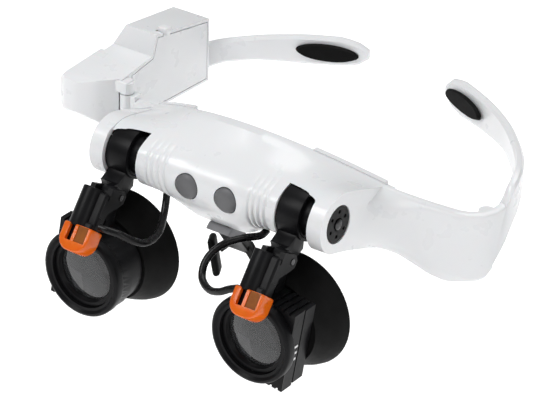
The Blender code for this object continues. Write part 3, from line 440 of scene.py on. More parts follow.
WING_TAIL = [((68.0, 38.9), (66.0, 42.2), -6.0, -30.2, 0.0), ((71.0, 41.6), (68.2, 44.2), -6.3, -29.6, 2.0),
             ((72.9, 44.6), (69.6, 46.0), -6.2, -28.4, 5.0), ((73.5, 47.2), (70.2, 47.8), -5.6, -27.0, 8.0)]


def wing_tail():
    """Rings that turn the left wing round the corner to the seam with its arm."""
    shape = [(0.4, 0.0), (0.1, 0.025)] + [(0.0, 0.06 + 0.88 * k / 6) for k in range(7)]
    shape += [(0.15, 0.985), (0.5, 1.0), (1.0, 0.94), (1.0, 0.5), (1.0, 0.05), (0.7, 0.0)]
    rings = []
    for outer, inner, top, low, lean in WING_TAIL:
        rings.append([(blend(outer[0], inner[0], side), blend(outer[1], inner[1], side) + lean * (0.5 - t),
                       blend(top, low, t)) for side, t in shape])
    return rings


def dense_ring(ring):
    """The same outline with a smooth front: the first nine points are the front, from crest to lip."""
    front, rest = ring[:9], ring[9:]
    dense = [tuple(p) for p in catmull(front, 5)]
    dense += [tuple(Vector(front[-1]).lerp(Vector(rest[0]), 0.5))]
    for a, b in zip(rest, rest[1:]):
        dense += [a, tuple(Vector(a).lerp(Vector(b), 0.5))]
    return dense + [rest[-1]]


def stations(limits, step):
    xs = []
    for a, b in zip(limits, limits[1:]):
        count = max(1, round((b - a) / step))
        xs += [a + (b - a) * k / count for k in range(count)]
    return xs + [limits[-1]]


def build_shell():
    half = stations([0.0, GROOVES[0] - GROOVE_HALF], 1.2)
    half += stations([GROOVES[0] - GROOVE_HALF, GROOVES[-1] + GROOVE_HALF], 0.22)
    half += stations([NOTCH_X[0] - 2.0, NOTCH_X[0], NOTCH_X[1]], 1.4)
    half += stations([NOTCH_X[1] + 0.02, LOBE_X], 1.5)
    left = half + stations([LOBE_X + 0.1, WING_X["left"]], 1.2)
    right = half + stations([LOBE_X + 0.1, -WING_X["right"]], 1.2)
    xs = [-x for x in reversed(right)] + left[1:]
    rings = [dense_ring(shell_ring(x)) for x in xs] + [dense_ring(ring) for ring in wing_tail()]
    shell = loft("front_shell", rings)

    inner_xs = stations([-23.0, 0.0, 23.0], 4.6)
    rings = []
    for x in inner_xs:
        front = belly_front(x, SHELL_WALL)
        back = band_y(x) + BAND_T + 2.0
        front[-1] = (front[-1][0] + 1.5, front[-1][1] + 0.4)
        ring = front + [(back, front[-1][1] + 1.4), (back, crest_z(x) - 2.2)]
        rings.append([(x, y, z) for y, z in ring])
    cut(shell, loft("cut_cavity", rings))

    for name, side in SIDES.items():
        outward = "X" if side > 0 else "-X"
        middle = side * (NOTCH_X[0] + NOTCH_X[1]) / 2
        width = NOTCH_X[1] - NOTCH_X[0]
        notch = cylinder(f"cut_notch_{name}", NOTCH_R, (middle - width / 2, 0, 0), width, "X", 48)
        mouth = [(-5.6, 6.7), (-20, 6.7), (-20, -30), (4.0, -30), (NOTCH_R, -3.0)]
        open_way = slab(f"cut_mouth_{name}", mouth, width, (middle - width / 2, 0, 0))
        journal = cylinder(f"cut_journal_{name}", JOURNAL_R + GAP, (side * 23.6, 0, 0), 19.4, outward, 40)
        recess = cylinder(f"cut_cap_{name}", 6.3, (side * 42.7, 0, 0), 4.0, outward, 40)
        button = cylinder(f"cut_button_{name}", BUTTON_R + GAP, (side * BUTTON_X, -12.0, BUTTON_Z), 9.0,
                          "Y", 32)
        cable = cylinder(f"cut_cable_{name}", 1.75, (side * 19.5, -1.8, -14.0), 9.0, "Z", 16)
        cut(shell, notch, open_way, journal, recess, button, cable)

    hx, hy = HINGE["left"]
    join(shell, cylinder("add_hinge_lug_left", 2.7, (hx, hy, -27.4), 20.6, "Z", 24))
    cut(shell, cylinder("cut_hinge_pocket_left", POCKET_R, (hx, hy, -22.2), 12.8, "Z", 28),
        box("cut_hinge_throat_left", (hx - 6.0, hy - 2.6, -22.1), (hx + 2.4, hy + 9.0, -9.5)),
        cylinder("cut_hinge_pin_left", HINGE_BORE_R, (hx, hy, -25.6), 18.4, "Z", 20))

    hx, hy = HINGE["right"]
    join(shell, cylinder("add_hinge_barrel_right", LUG_R, (hx, hy, -8.8), 7.2, "Z", 24),
         box("add_hinge_tongue_right", (hx + 0.4, hy - 1.2, -8.8), (hx + 4.0, hy + 2.6, -1.6)))
    cut(shell, cylinder("cut_hinge_pin_right", HINGE_BORE_R, (hx, hy, -20), 30, "Z", 20))


# ---- shafts, caps and buttons ------------
def build_shaft(side, name):
    shoulder = SHAFT_LEN - JOURNAL_LEN - 0.1
    profile = [(0, SHAFT_LEN), (JOURNAL_R, SHAFT_LEN), (JOURNAL_R, shoulder), (SHAFT_R, shoulder),
               (SHAFT_R, JOURNAL_LEN), (JOURNAL_R, JOURNAL_LEN), (JOURNAL_R, 0.0), (0, 0.0)]
    start = NOTCH_X[0] + 0.05 - JOURNAL_LEN
    turned(f"shaft_{name}", profile, (side * start, 0, 0), "X" if side > 0 else "-X", 40)


def build_end_cap(side, name):
    """Dark disc with a ring of small holes in the outer face of a boss, and its middle screw."""
    turn = "X" if side > 0 else "-X"
    cap = cylinder(f"end_cap_{name}", DISC_R, (side * DISC_X, 0, 0), DISC_T, turn, 40)
    cut(cap, cylinder(f"cut_capseat_{name}", 2.2, (side * (DISC_X + 0.8), 0, 0), 2.0, turn, 24),
        cylinder(f"cut_capbore_{name}", 1.1, (side * (DISC_X - 1), 0, 0), 4.0, turn, 16))
    for k in range(DISC_HOLES):
        a = math.tau * k / DISC_HOLES + math.radians(20)
        place = (side * (DISC_X + 0.7), DISC_RING_R * math.cos(a), DISC_RING_R * math.sin(a))
        cut(cap, cylinder(f"cut_caphole_{name}_{k}", DISC_HOLE_R, place, 2.0, turn, 10))
    profile = [(0, 1.35), (1.2, 1.35), (1.75, 1.0), (1.75, 0.3), (0.8, 0.3), (0.8, -0.6), (0, -0.6)]
    turned(f"end_screw_{name}", profile, (side * (DISC_X + 0.8), 0, 0), turn, 20)


def build_button(side, name):
    profile = [(0, 3.3), (2.4, 3.15), (3.5, 2.75), (BUTTON_R, 2.1), (BUTTON_R, -1.6), (4.9, -1.6),
               (4.9, -2.3), (1.3, -2.3), (1.3, -2.7), (0, -2.7)]
    turned(f"button_{name}", profile, (side * BUTTON_X, -5.6, BUTTON_Z), "-Y", 28)


def build_nose():
    """Bracket under the middle of the visor, and two rubber pads on its arms."""
    outline = [(-3.6, -17.2), (-1.6, -15.5), (3.2, -15.5), (5.0, -18.0), (10.5, -28.0), (8.6, -29.4),
               (2.4, -20.6)]
    bracket = slab("nose_bracket", outline, 9.0, (-4.5, 2.0, 0), "X", 0.5)
    arms = slab("add_nose_arms", [(-8.0, -30.2), (-4.2, -25.2), (4.2, -25.2), (8.0, -30.2),
                                  (6.0, -31.4), (2.6, -27.6), (-2.6, -27.6), (-6.0, -31.4)],
                2.6, (0, 9.6, 0), "Y")
    join(bracket, arms)
    for name, side in SIDES.items():
        lean = Matrix.Rotation(math.radians(side * 12), 4, "Y")
        lean = lean @ Matrix.Rotation(math.radians(-side * 30), 4, "Z")
        pad = box(f"nose_pad_{name}", (side * 9.6 - 1.2, 7.0, -40.5), (side * 9.6 + 1.2, 14.4, -27.6),
                  1.1, turn=lean)
        pad.modifiers["round_edges"].segments = 3


# ---- arms and battery case ------------
ARM_PATH = [(71.9, 47.9), (72.6, 52.0), (72.0, 57.5), (69.8, 63.6), (65.8, 70.4), (59.8, 77.8), (51.2, 86.6),
            (40.0, 94.8), (28.0, 101.0), (17.0, 105.2)]
ARM_TOP = [(0, -5.0), (0.08, -2.6), (0.16, 0.2), (0.3, 2.2), (0.6, 1.8), (0.8, 2.2), (0.92, 2.6), (0.97, 1.6),
           (1, -1.4)]
ARM_LOW = [(0, -26.4), (0.08, -21.6), (0.18, -14.4), (0.3, -9.6), (0.45, -8.0), (0.65, -7.9), (0.8, -9.6),
           (0.92, -10.4), (0.97, -9.0), (1, -5.6)]
ARM_LEAN = [(0, 8.0), (0.12, 3.0), (0.25, 0.0)]


def arm_rings(path, tops, lows, leans):
    """Rounded upright sections along a plan path; tops, lows and leans read by fraction of the way."""
    curve = catmull([(x, y, 0) for x, y in path], 4)
    rings = []
    last = len(curve) - 1
    for i, p in enumerate(curve):
        t = i / last
        ahead = curve[min(i + 1, last)] - curve[max(i - 1, 0)]
        across = Vector((ahead.y, -ahead.x, 0)).normalized()
        top, low, lean = through(tops, t), through(lows, t), through(leans, t)
        half = ARM_T / 2
        ring = []
        for off, z in ((-1.0, low + 1.2), (-1.0, top - 1.2), (-0.55, top - 0.2), (0.0, top),
                       (0.55, top - 0.2), (1.0, top - 1.2), (1.0, low + 1.2), (0.55, low + 0.2),
                       (0.0, low), (-0.55, low + 0.2)):
            q = p + across * off * half
            ring.append((q.x, q.y + lean * ((z - low) / (top - low) - 0.5), z))
        rings.append(ring)
    return rings


def pad_on_arm(name, centre, direction, bend_radius):
    """Oval rubber pad lying on the inner face of an arm end."""
    bm = bmesh.new()
    bmesh.ops.create_cone(bm, cap_ends=True, segments=32, radius1=1.0, radius2=0.9, depth=1.0)
    bmesh.ops.scale(bm, vec=vec(11.0, 3.1, 1.2), verts=bm.verts)
    for v in bm.verts:
        v.co.z += v.co.x ** 2 / (2 * bend_radius * MM)
    inward = Vector((direction[1], -direction[0], 0)).normalized()
    along = Vector((direction[0], direction[1], 0)).normalized()
    turn = Matrix((along, Vector((0, 0, 1)), inward)).transposed().to_4x4()
    bmesh.ops.transform(bm, matrix=turn, verts=bm.verts)
    bmesh.ops.translate(bm, vec=vec(*centre) + inward * (ARM_T / 2 + 0.55 + 0.6) * MM, verts=bm.verts)
    new_object(name, mesh_from_bmesh(name, bm))


def build_left_arm():
    arm = loft("left_arm", arm_rings(ARM_PATH, ARM_TOP, ARM_LOW, ARM_LEAN))
    hx, hy = HINGE["left"]
    join(arm, cylinder("add_hinge_barrel_left", 2.6, (hx, hy, -21.8), 12.0, "Z", 24),
         box("add_hinge_tongue_left", (hx - 1.8, hy, -21.8), (hx + 1.8, hy + 6.0, -9.8)))
    for k, low in enumerate((-42.1, -9.5)):
        cut(arm, cylinder(f"cut_arm_room_{k}", POCKET_R, (hx, hy, low), 20.0, "Z", 24))
    cut(arm, cylinder("cut_arm_bore_left", HINGE_BORE_R, (hx, hy, -24), 17, "Z", 20))
    pad_on_arm("arm_pad_left", (28.4, 100.8, -3.6), (0.9, -0.435), 95.0)


def build_right_arm():
    path = [(-67.5, 81.9), (-62.4, 85.0), (-55.0, 89.6), (-47.0, 93.6), (-38.0, 97.6), (-28.0, 101.6),
            (-15.5, 106.0)]
    tops = [(0, -2.9), (0.2, -0.8), (0.45, 1.4), (0.7, 3.2), (0.88, 3.9), (0.95, 3.0), (1, 0.6)]
    lows = [(0, -12.9), (0.2, -9.6), (0.4, -8.0), (0.6, -7.6), (0.75, -7.4), (0.9, -6.4),
            (0.96, -5.2), (1, -2.6)]
    loft("right_arm", arm_rings(path, tops, lows, [(0, 0.0)]))
    pad_on_arm("arm_pad_right", (-29.0, 101.2, -1.6), (0.93, 0.37), 400.0)


CASE_PROFILE = [(23.0, 0.6), (27.5, 2.9), (48.4, 5.6), (51.0, 12.6), (80.4, 7.8), (80.4, -15.6),
                (36.0, -14.2), (29.0, -13.6), (23.0, -8.0)]
CELL_BAY = [(36.4, 3.7), (48.4, 5.6), (51.0, 12.6), (80.4, 7.8), (80.4, -15.6), (37.6, -14.3), (36.4, -13.2)]


def inset_profile(points, wall):
    """The outline moved in by wall, corner by corner."""
    moved = []
    count = len(points)
    area = sum(points[i][0] * points[(i + 1) % count][1] - points[(i + 1) % count][0] * points[i][1]
               for i in range(count))
    turn = 1.0 if area > 0 else -1.0
    for i, point in enumerate(points):
        a, b, c = Vector(points[i - 1]), Vector(point), Vector(points[(i + 1) % count])
        normal = Vector((-(b - a).y, (b - a).x)).normalized() * turn
        after = Vector((-(c - b).y, (c - b).x)).normalized() * turn
        half = (normal + after).normalized()
        b = b + half * (wall / max(half.dot(normal), 0.3))
        moved.append((b.x, b.y))
    return moved


def build_battery_case():
    """Case on the wearer's right and the cover on its inner face."""
    case = slab("battery_case", CASE_PROFILE, BOX_IN_X - BOX_OUT_X, (BOX_OUT_X, 0, 0))
    slant = slab("cut_case_slant", [(-73.4, 20.0), (-95.0, 20.0), (-95.0, -5.0), (-88.9, -5.0),
                                    (-81.6, 3.0)], 60.0, (0, 44.0, 0), "Y")
    brow = slab("cut_case_brow", [(-80.2, 8.0), (-95.0, 8.0), (-95.0, -3.0), (-89.2, -3.0),
                                  (-84.4, 1.2)], 30.1, (0, 14.1, 0), "Y")
    lower = slab("cut_case_low", [(-95.0, -30.0), (-67.0, -30.0), (-73.0, -15.4),
                                  (-82.0, -12.2), (-89.4, -6.6), (-95.0, -6.6)], 80.0, (0, 15.0, 0), "Y")
    front = slab("cut_case_front", [(-95.0, 12.0), (-60.0, 12.0), (-60.0, 32.4), (-65.0, 32.0),
                                    (-71.0, 27.0), (-76.6, 24.6), (-82.4, 25.0), (-85.6, 27.0),
                                    (-87.6, 30.4), (-88.5, 34.5), (-95.0, 34.5)],
                 60.0, (0, 0, -30.0), "Z")
    cut(case, slant, brow, lower, front)
    add_bevel(case, 1.0, 2, 32)

    hx, hy = HINGE["right"]
    for k, (low, high) in enumerate(((-13.4, -9.2), (-1.2, 2.6))):
        join(case, cylinder(f"add_case_lug_{k}", LUG_R, (hx, hy, low), high - low, "Z", 24),
             box(f"add_case_web_{k}", (hx - 3.5, hy - 1.2, low), (hx, hy + 2.4, high)))
    join(case, box("add_case_corner", (hx - 3.5, hy - 2.4, -1.15), (hx + 1.5, hy + 2.3, 3.0), 0.6))
    bay = inset_profile(CELL_BAY, 1.0)
    deep = [(-65.3, -13.1), (-75.0, -13.1), (-78.6, -10.6), (-78.6, 2.6), (-65.3, 2.6)]
    cut(case, cylinder("cut_case_hinge_room", 2.8, (hx, hy, -9.2), 8.0, "Z", 24),
        cylinder("cut_case_hinge_pin", HINGE_BORE_R, (hx, hy, -20), 22, "Z", 20),
        slab("cut_case_bay", bay, 9.6, (BOX_IN_X - 8.6, 0, 0)),
        slab("cut_case_deep", deep, 43.6, (0, 35.7, 0), "Y"),
        box("cut_latch_seat", (-67.4, 54.4, 6.8), (-60.0, 58.6, 16.0)))

    cover = slab("battery_cover", inset_profile(CELL_BAY, 1.3), COVER_T, (BOX_IN_X - COVER_T, 0, 0))
    join(cover, box("add_latch_stem", (-65.2, 54.8, 5.0), (-64.0, 58.2, 11.6)),
         box("add_latch_tab", (-66.9, 54.8, 10.9), (-62.9, 58.2, 13.6), 0.6))


# ---- loupe units ------------
def build_clip(name, cx):
    """Ring on the shaft, neck down to the lens holder and knuckle forward to the lamp."""
    ring = cylinder(f"clip_{name}", RING_OUT_R, (cx - RING_LEN / 2, 0, 0), RING_LEN, "X", 48)
    neck = slab(f"add_neck_{name}", [(-6.8, -4.2), (-2.8, -7.6), (-3.2, -10.6), (-10.6, -13.8),
                                     (-12.4, NECK_FOOT_Z), (-17.4, NECK_FOOT_Z), (-16.6, -11.0),
                                     (-14.6, -6.2), (-10.8, -6.6), (-8.3, -5.2)],
                6.8, (cx - 3.8, 0, 0))
    lx = cx + LAMP_SHIFT
    join(ring, neck, cylinder(f"add_knuckle_{name}", 2.9, (lx - 4.2, PIVOT_Y, PIVOT_Z), 6.4, "X", 24))
    for k, (low, high) in enumerate(((cx - 5.0, lx - 2.2), (lx + 2.2, lx + 6.0))):
        cut(ring, cylinder(f"cut_cheek_{name}_{k}", 3.9, (low, PIVOT_Y, PIVOT_Z), high - low, "X", 24))
    cut(ring, cylinder(f"cut_clip_bore_{name}", RING_IN_R, (cx - 8, 0, 0), 16, "X", 48),
        cylinder(f"cut_screw_hole_{name}", 1.05, (cx, -0.2, 5.0), 8.0, "Z", 16),
        cylinder(f"cut_pin_bore_{name}", LAMP_PIN_BORE_R, (lx - 8, PIVOT_Y, PIVOT_Z), 16, "X", 16))
    add_bevel(ring, 0.35, 1, 50)


def half_round_plate(name, outer_side, cx, y, half):
    """Plate across the optical axis: round on the nose side, square on the outer side, leaning."""
    reach = outer_side * PLATE_OUT
    points = [(0.0, half), (reach, half), (reach, -half), (0.0, -half)]
    for k in range(1, 16):
        a = -math.pi / 2 - math.pi * k / 16
        points.append((-outer_side * abs(math.cos(a)) * half, math.sin(a) * half))
    roll = Matrix.Rotation(math.radians(-PLATE_ROLL), 2)
    plate = slab(name, [tuple(roll @ Vector(p)) for p in points], PLATE_T, (cx, y, LENS_Z), "Y")
    for edge in (1, -1):
        for k in range(GRIPS):
            place = roll @ Vector((outer_side * (GRIP_START + GRIP_STEP * k), edge * half))
            x, z = cx + place.x, LENS_Z + place.y
            cut(plate, box(f"cut_grip_{name}_{edge + 1}_{k}", (x - GRIP_HALF, y - 1, z - GRIP_DEPTH),
                           (x + GRIP_HALF, y + PLATE_T + 1, z + GRIP_DEPTH), turn=PLATE_LEAN))
    return plate


# painted reflections: bright and dim panes that stand for the light seen in each front lens, in shares of the
# bore's radius
REFLECTION_PANES = [[(-0.58, -0.10), (-0.20, -0.16), (-0.12, -0.42), (-0.16, -0.72), (-0.44, -0.62), (-0.56, -0.40)],
          [(-0.18, -0.18), (0.62, -0.24), (0.56, -0.52), (0.34, -0.76), (0.06, -0.74), (-0.14, -0.60)],
          [(0.30, 0.62), (0.52, 0.52), (0.70, 0.28), (0.74, 0.06), (0.40, 0.16), (0.32, 0.34)]]


def build_cartridge(side, name, cx):
    """Front plate with the stepped lens barrel, and the strokes on its side."""
    def bore(part, radius, y, length, radius2=None):
        place = (cx, BARREL_FRONT_Y + y, LENS_Z)
        return cylinder(f"cut_barrel_{part}_{name}", radius, place, length, "Y", 48, radius2=radius2)

    cartridge = half_round_plate(f"lens_cartridge_{name}", side, cx, PLATE_Y, PLATE_HALF)
    barrel = cylinder(f"add_barrel_{name}", BARREL_R, (cx, BARREL_FRONT_Y, LENS_Z),
                      PLATE_Y - BARREL_FRONT_Y + 1.0, "Y", 48)
    add_bevel(barrel, 1.2, 2)
    join(cartridge, barrel)
    cut(cartridge, bore("lip", BORE_R + 0.1, -1.0, 3.2, BORE_R - 0.1),
        bore("mouth", BORE_R + 2.3, -0.8, 1.7, BORE_R + 0.9), bore("bore", BORE_R, -3, 14))
    half = Vector(STROKE_HALF)
    for k in range(STROKES):
        face = PLATE_LEAN @ Vector((side * (PLATE_OUT + 0.12), 0.0, STROKE_START + STROKE_STEP * k))
        stroke = Vector((cx, PLATE_Y + 0.5 * PLATE_T, LENS_Z)) + face
        box(f"plate_stroke_{name}_{k}", stroke - half, stroke + half, turn=PLATE_LEAN)


def build_holder(side, name, cx):
    """Rear plate on the clip's neck, and the rubber cup behind it."""
    holder = half_round_plate(f"lens_holder_{name}", side, cx, HOLDER_Y, PLATE_HALF - 0.6)
    join(holder, box(f"add_foot_{name}", (cx - 3.6, HOLDER_Y + 0.2, LENS_Z + 12.6),
                     (cx + 2.8, HOLDER_Y + PLATE_T, NECK_FOOT_Z - GAP)))
    cut(holder, cylinder(f"cut_holder_bore_{name}", BORE_R, (cx, HOLDER_Y - 3, LENS_Z), 12, "Y", 48))

    span = CUP_RIM_Y - CUP_FRONT_Y
    outer = [(blend(CUP_FRONT_R, CUP_RIM_R, 0.55 * smooth_step(k / 6, 0, 1.0) + 0.45 * k / 6), span * k / 6)
             for k in range(7)]
    flange = [(BORE_R + 0.2, 0.0), (BORE_R + 0.2, 1.0), (CUP_FRONT_R - CUP_WALL, 1.0)]
    inner = [(r - CUP_WALL, h) for r, h in outer[1:]]
    turned(f"eyecup_{name}", outer[::-1] + flange + inner, (cx, CUP_FRONT_Y, LENS_Z), "Y", 32)


def build_lenses(name, cx):
    """Two lenses, the panes of painted reflection between them and the ring that holds the front one."""
    front = [(0, 2.6), (4, 2.35), (8, 1.6), (LENS_R, 0.6), (LENS_R, 0.0), (0, 0.0)]
    turned(f"front_lens_{name}", front, (cx, BARREL_FRONT_Y + 4.6, LENS_Z), "-Y", 36)
    rear = [(0, 2.0), (8, 1.2), (LENS_R, 0.4), (LENS_R, -0.6), (0, -0.6)]
    turned(f"rear_lens_{name}", rear, (cx, BARREL_FRONT_Y + 6.2, LENS_Z), "Y", 36)
    # painted reflections: flat panes just behind the front lens, each dressed in a painted glint colour
    for k, shape in enumerate(REFLECTION_PANES):
        outline = [(BORE_R * a, BORE_R * b) for a, b in shape]
        pane = slab(f"prism_facet_{name}_{k}", outline, 0.12, (cx, BARREL_FRONT_Y + 4.85, LENS_Z), "Y")
        pane["glint"] = k
    ring = [(LENS_R, 1.2), (LENS_R, 0.0), (BORE_R - 2.0, 0.0), (BORE_R - 1.4, 1.2)]
    turned(f"retaining_ring_{name}", ring, (cx, BARREL_FRONT_Y + 3.4, LENS_Z), "-Y", 36)


def cap_corner():
    """The round lower corner of the lamp cap, from its side down to its foot, as (x, z)."""
    turns = [math.pi * k / 16 for k in range(9)]
    return [(CAP_HALF - CAP_CORNER_R * (1 - math.cos(turn)), CAP_FOOT + CAP_CORNER_R * (1 - math.sin(turn)))
            for turn in turns]


def build_lamp(name, cx):
    """Lamp housing with two ears on the pin, a clear orange cap and the lamp itself."""
    lean = Matrix.Rotation(math.radians(-LAMP_TILT), 4, "X")
    stand = Matrix.Translation(vec(cx + LAMP_SHIFT, PIVOT_Y, PIVOT_Z)) @ lean

    def place(obj):
        obj.matrix_local = stand
        return obj

    body = place(box(f"lamp_housing_{name}", (-5.2, -7.9, -13.2), (4.1, -3.2, -0.7), 0.7))
    join(body, place(cylinder(f"add_column_{name}", 3.5, (-1.9, -6.9, -13.4), 13.2, "Z", 40, 0.5)))
    ear = [(-6.0, 1.4), (0.4, 2.5), (2.4, 1.0), (2.4, -1.4), (0.2, -3.4), (-6.0, -8.0)]
    for k, x in enumerate((-4.3, 2.5)):
        join(body, place(slab(f"add_ear_{name}_{k}", ear, 1.8, (x, 0, 0))))
    join(body, place(box(f"add_ear_bridge_{name}", (-1.0, -7.4, -8.6), (4.3, -3.9, -2.6))),
         place(box(f"add_lamp_nose_{name}", (-3.6, -8.6, -19.4), (3.6, -4.6, -11.0), 0.8)))
    cut(body, place(cylinder(f"cut_knuckle_gap_{name}", 3.3, (-2.5, 0, 0), 5.0, "X", 24)),
        place(cylinder(f"cut_lamp_pin_{name}", LAMP_PIN_BORE_R, (-8, 0, 0), 16, "X", 16)),
        place(cylinder(f"cut_lamp_well_{name}", 1.75, (0, -6.6, -21.0), 8.0, "Z", 20)))

    right_edge = [(CAP_HALF, CAP_TOP)] + cap_corner()
    outline = right_edge + [(-x, z) for x, z in reversed(right_edge)]
    cap = place(slab(f"lamp_cap_{name}", outline, CAP_DEPTH, (0, CAP_FRONT, 0), "Y", 0.6))
    cut(cap, place(box(f"cut_cap_room_{name}", (-3.9, -8.9, -19.8), (3.9, -4.3, -10.0))),
        place(box(f"cut_cap_slot_{name}", (-3.0, -12.0, -18.4), (-0.8, -8.0, -10.0))),
        place(box(f"cut_cap_pane_{name}", (0.3, -11.0, -18.4), (4.3, -9.9, -10.0))))
    place(box(f"cap_pane_{name}", (0.4, -10.1, -18.3), (4.2, -9.95, -13.1)))

    dome = [(0, 4.6), (0.8, 4.3), (1.4, 3.4), (1.5, 0.0), (0, 0.0)]
    led = turned(f"led_{name}", dome, (0, 0, 0), "Z", 16)
    led.matrix_local = stand @ Matrix.Translation(vec(0, -6.6, -14.8)) @ Matrix.Rotation(math.pi, 4, "X")


# ---- cables ------------
CABLE_R = 1.2
CABLE_ROUTES = {
    "left": [(19.5, -1.8, -9.6), (18.9, -4.6, -10.6), (16.4, -10.0, -9.9), (13.2, -14.6, -10.7),
             (10.8, -18.2, -13.0), (9.9, -21.2, -16.0), (11.0, -24.0, -18.9), (13.8, -26.2, -20.2),
             (17.4, -27.8, -20.2), (21.4, -28.8, -18.6), (24.9, -28.8, -16.5), (27.9, -28.4, -15.3)],
    "right": [(-19.5, -1.8, -9.6), (-19.0, -3.0, -12.4), (-17.6, -6.0, -15.6), (-15.6, -10.6, -17.8),
              (-14.9, -15.2, -18.9), (-15.6, -19.2, -18.6), (-17.8, -22.6, -16.8), (-20.6, -25.0, -14.6),
              (-23.8, -26.6, -13.6), (-26.75, -27.0, -13.4)],
}
CABLE_SPLIT = {"left": (6.5, 7.0), "right": (2.9, 3.0)}     # lengths of the root and the tail
CABLE_SIDES = 20


# ---- finishes ------------
def finish_nodes(name):
    mat = bpy.data.materials.new(name)
    mat.use_nodes = True
    nodes, links = mat.node_tree.nodes, mat.node_tree.links
    return mat, nodes, links, nodes["Principled BSDF"]


def noise_of(nodes, links, coords, scale, detail):
    noise = nodes.new("ShaderNodeTexNoise")
    noise.inputs["Scale"].default_value = scale
    noise.inputs["Detail"].default_value = detail
    noise.inputs["Roughness"].default_value = 0.55
    links.new(coords.outputs["Object"], noise.inputs["Vector"])
    return noise


def finish(name, dark, light, rough, patch, grain, bump, **sockets):
    """Two close colours in soft patches, roughness that varies a little, and a fine moulded grain."""
    mat, nodes, links, shader = finish_nodes(name)
    coords = nodes.new("ShaderNodeTexCoord")
    patches = noise_of(nodes, links, coords, patch, 5.0)
    ramp = nodes.new("ShaderNodeValToRGB")
    ramp.color_ramp.elements[0].position = 0.3
    ramp.color_ramp.elements[0].color = (*dark, 1.0)
    ramp.color_ramp.elements[1].position = 0.7
    ramp.color_ramp.elements[1].color = (*light, 1.0)
    links.new(patches.outputs["Fac"], ramp.inputs["Fac"])
    links.new(ramp.outputs["Color"], shader.inputs["Base Color"])
    wear = noise_of(nodes, links, coords, patch * 3.1, 3.0)
    spread = nodes.new("ShaderNodeMapRange")
    spread.inputs["To Min"].default_value = rough[0]
    spread.inputs["To Max"].default_value = rough[1]
    links.new(wear.outputs["Fac"], spread.inputs["Value"])
    links.new(spread.outputs["Result"], shader.inputs["Roughness"])
    fine = noise_of(nodes, links, coords, grain, 2.0)
    relief = nodes.new("ShaderNodeBump")
    relief.inputs["Strength"].default_value = bump
    relief.inputs["Distance"].default_value = 0.04 * MM
    links.new(fine.outputs["Fac"], relief.inputs["Height"])
    links.new(relief.outputs["Normal"], shader.inputs["Normal"])
    for key, value in sockets.items():
        shader.inputs[key.replace("_", " ")].default_value = value
    return mat


FINISH = {
    "white_plastic": finish("white_gloss_abs", (0.795, 0.805, 0.82), (0.81, 0.82, 0.835), (0.24, 0.33),
                            40, 1500, 0.015, Coat_Weight=0.35, Coat_Roughness=0.12, Subsurface_Weight=0.06,
                            Subsurface_Scale=0.002),
    "black_plastic": finish("black_satin_abs", (0.004, 0.004, 0.0045), (0.008, 0.008, 0.009), (0.30, 0.42),
                            120, 3200, 0.08, Specular_IOR_Level=0.11, Coat_Weight=0.02, Coat_Roughness=0.2),
    "black_rubber": finish("black_moulded_rubber", (0.003, 0.003, 0.003), (0.007, 0.007, 0.007), (0.50, 0.66),
                           140, 2600, 0.2, Specular_IOR_Level=0.08),
    "grey_rubber": finish("grey_button_rubber", (0.112, 0.113, 0.118), (0.132, 0.133, 0.139), (0.42, 0.52),
                          300, 2600, 0.12, Sheen_Weight=0.1),
    "nose_bracket_plastic": finish("smoke_clear_plastic", (0.22, 0.22, 0.23), (0.27, 0.27, 0.28),
                                   (0.35, 0.45), 200, 1500, 0.03, Specular_IOR_Level=0.2),
    "orange_cap": finish("clear_orange_plastic", (0.93, 0.15, 0.006), (1.0, 0.20, 0.010), (0.10, 0.18),
                         260, 1500, 0.04, Transmission_Weight=0.3, IOR=1.49, Subsurface_Weight=0.15,
                         Subsurface_Scale=0.002, Specular_IOR_Level=0.25),
    "lens_glass": finish("coated_lens_glass", (0.17, 0.175, 0.185), (0.21, 0.215, 0.225), (0.015, 0.03),
                         80, 400, 0.01, Transmission_Weight=0.96, IOR=1.5, Coat_Weight=0.2,
                         Coat_Roughness=0.02),
    "steel": finish("blackened_steel", (0.05, 0.05, 0.052), (0.09, 0.09, 0.092), (0.18, 0.32),
                    500, 4200, 0.12, Metallic=1.0),
    "circuit_board": finish("green_board", (0.012, 0.07, 0.025), (0.02, 0.11, 0.04), (0.30, 0.45),
                            700, 2200, 0.2),
    "led": finish("lamp_resin", (0.80, 0.80, 0.74), (0.90, 0.90, 0.84), (0.06, 0.12), 300, 1500, 0.03,
                  Transmission_Weight=0.6, IOR=1.5),
    "battery_sleeve": finish("cell_sleeve", (0.06, 0.08, 0.13), (0.09, 0.11, 0.17), (0.25, 0.38),
                             200, 1800, 0.05, Metallic=0.4),
    "cable_jacket": finish("cable_jacket", (0.003, 0.003, 0.0035), (0.006, 0.006, 0.0065), (0.22, 0.32),
                           260, 2400, 0.06, Specular_IOR_Level=0.25),
}
# painted highlights: bright, dim and edge glint colours for the reflection panes in the lenses
PAINTED_GLINTS = [finish(f"prism_{name}", dark, light, (0.1, 0.2), 260, 900, 0.02)
          for name, dark, light in (("bright", (0.75, 0.75, 0.76), (0.85, 0.85, 0.86)),
                                    ("dim", (0.16, 0.16, 0.17), (0.24, 0.24, 0.25)),
                                    ("edge", (0.55, 0.55, 0.56), (0.8, 0.8, 0.81)))]
AMBER = finish("amber_pane", (0.20, 0.055, 0.006), (0.27, 0.08, 0.008), (0.3, 0.4), 260, 1500, 0.03,
               Specular_IOR_Level=0.12)
INK = finish("white_ink", (0.72, 0.72, 0.72), (0.85, 0.85, 0.85), (0.4, 0.5), 400, 2400, 0.05)


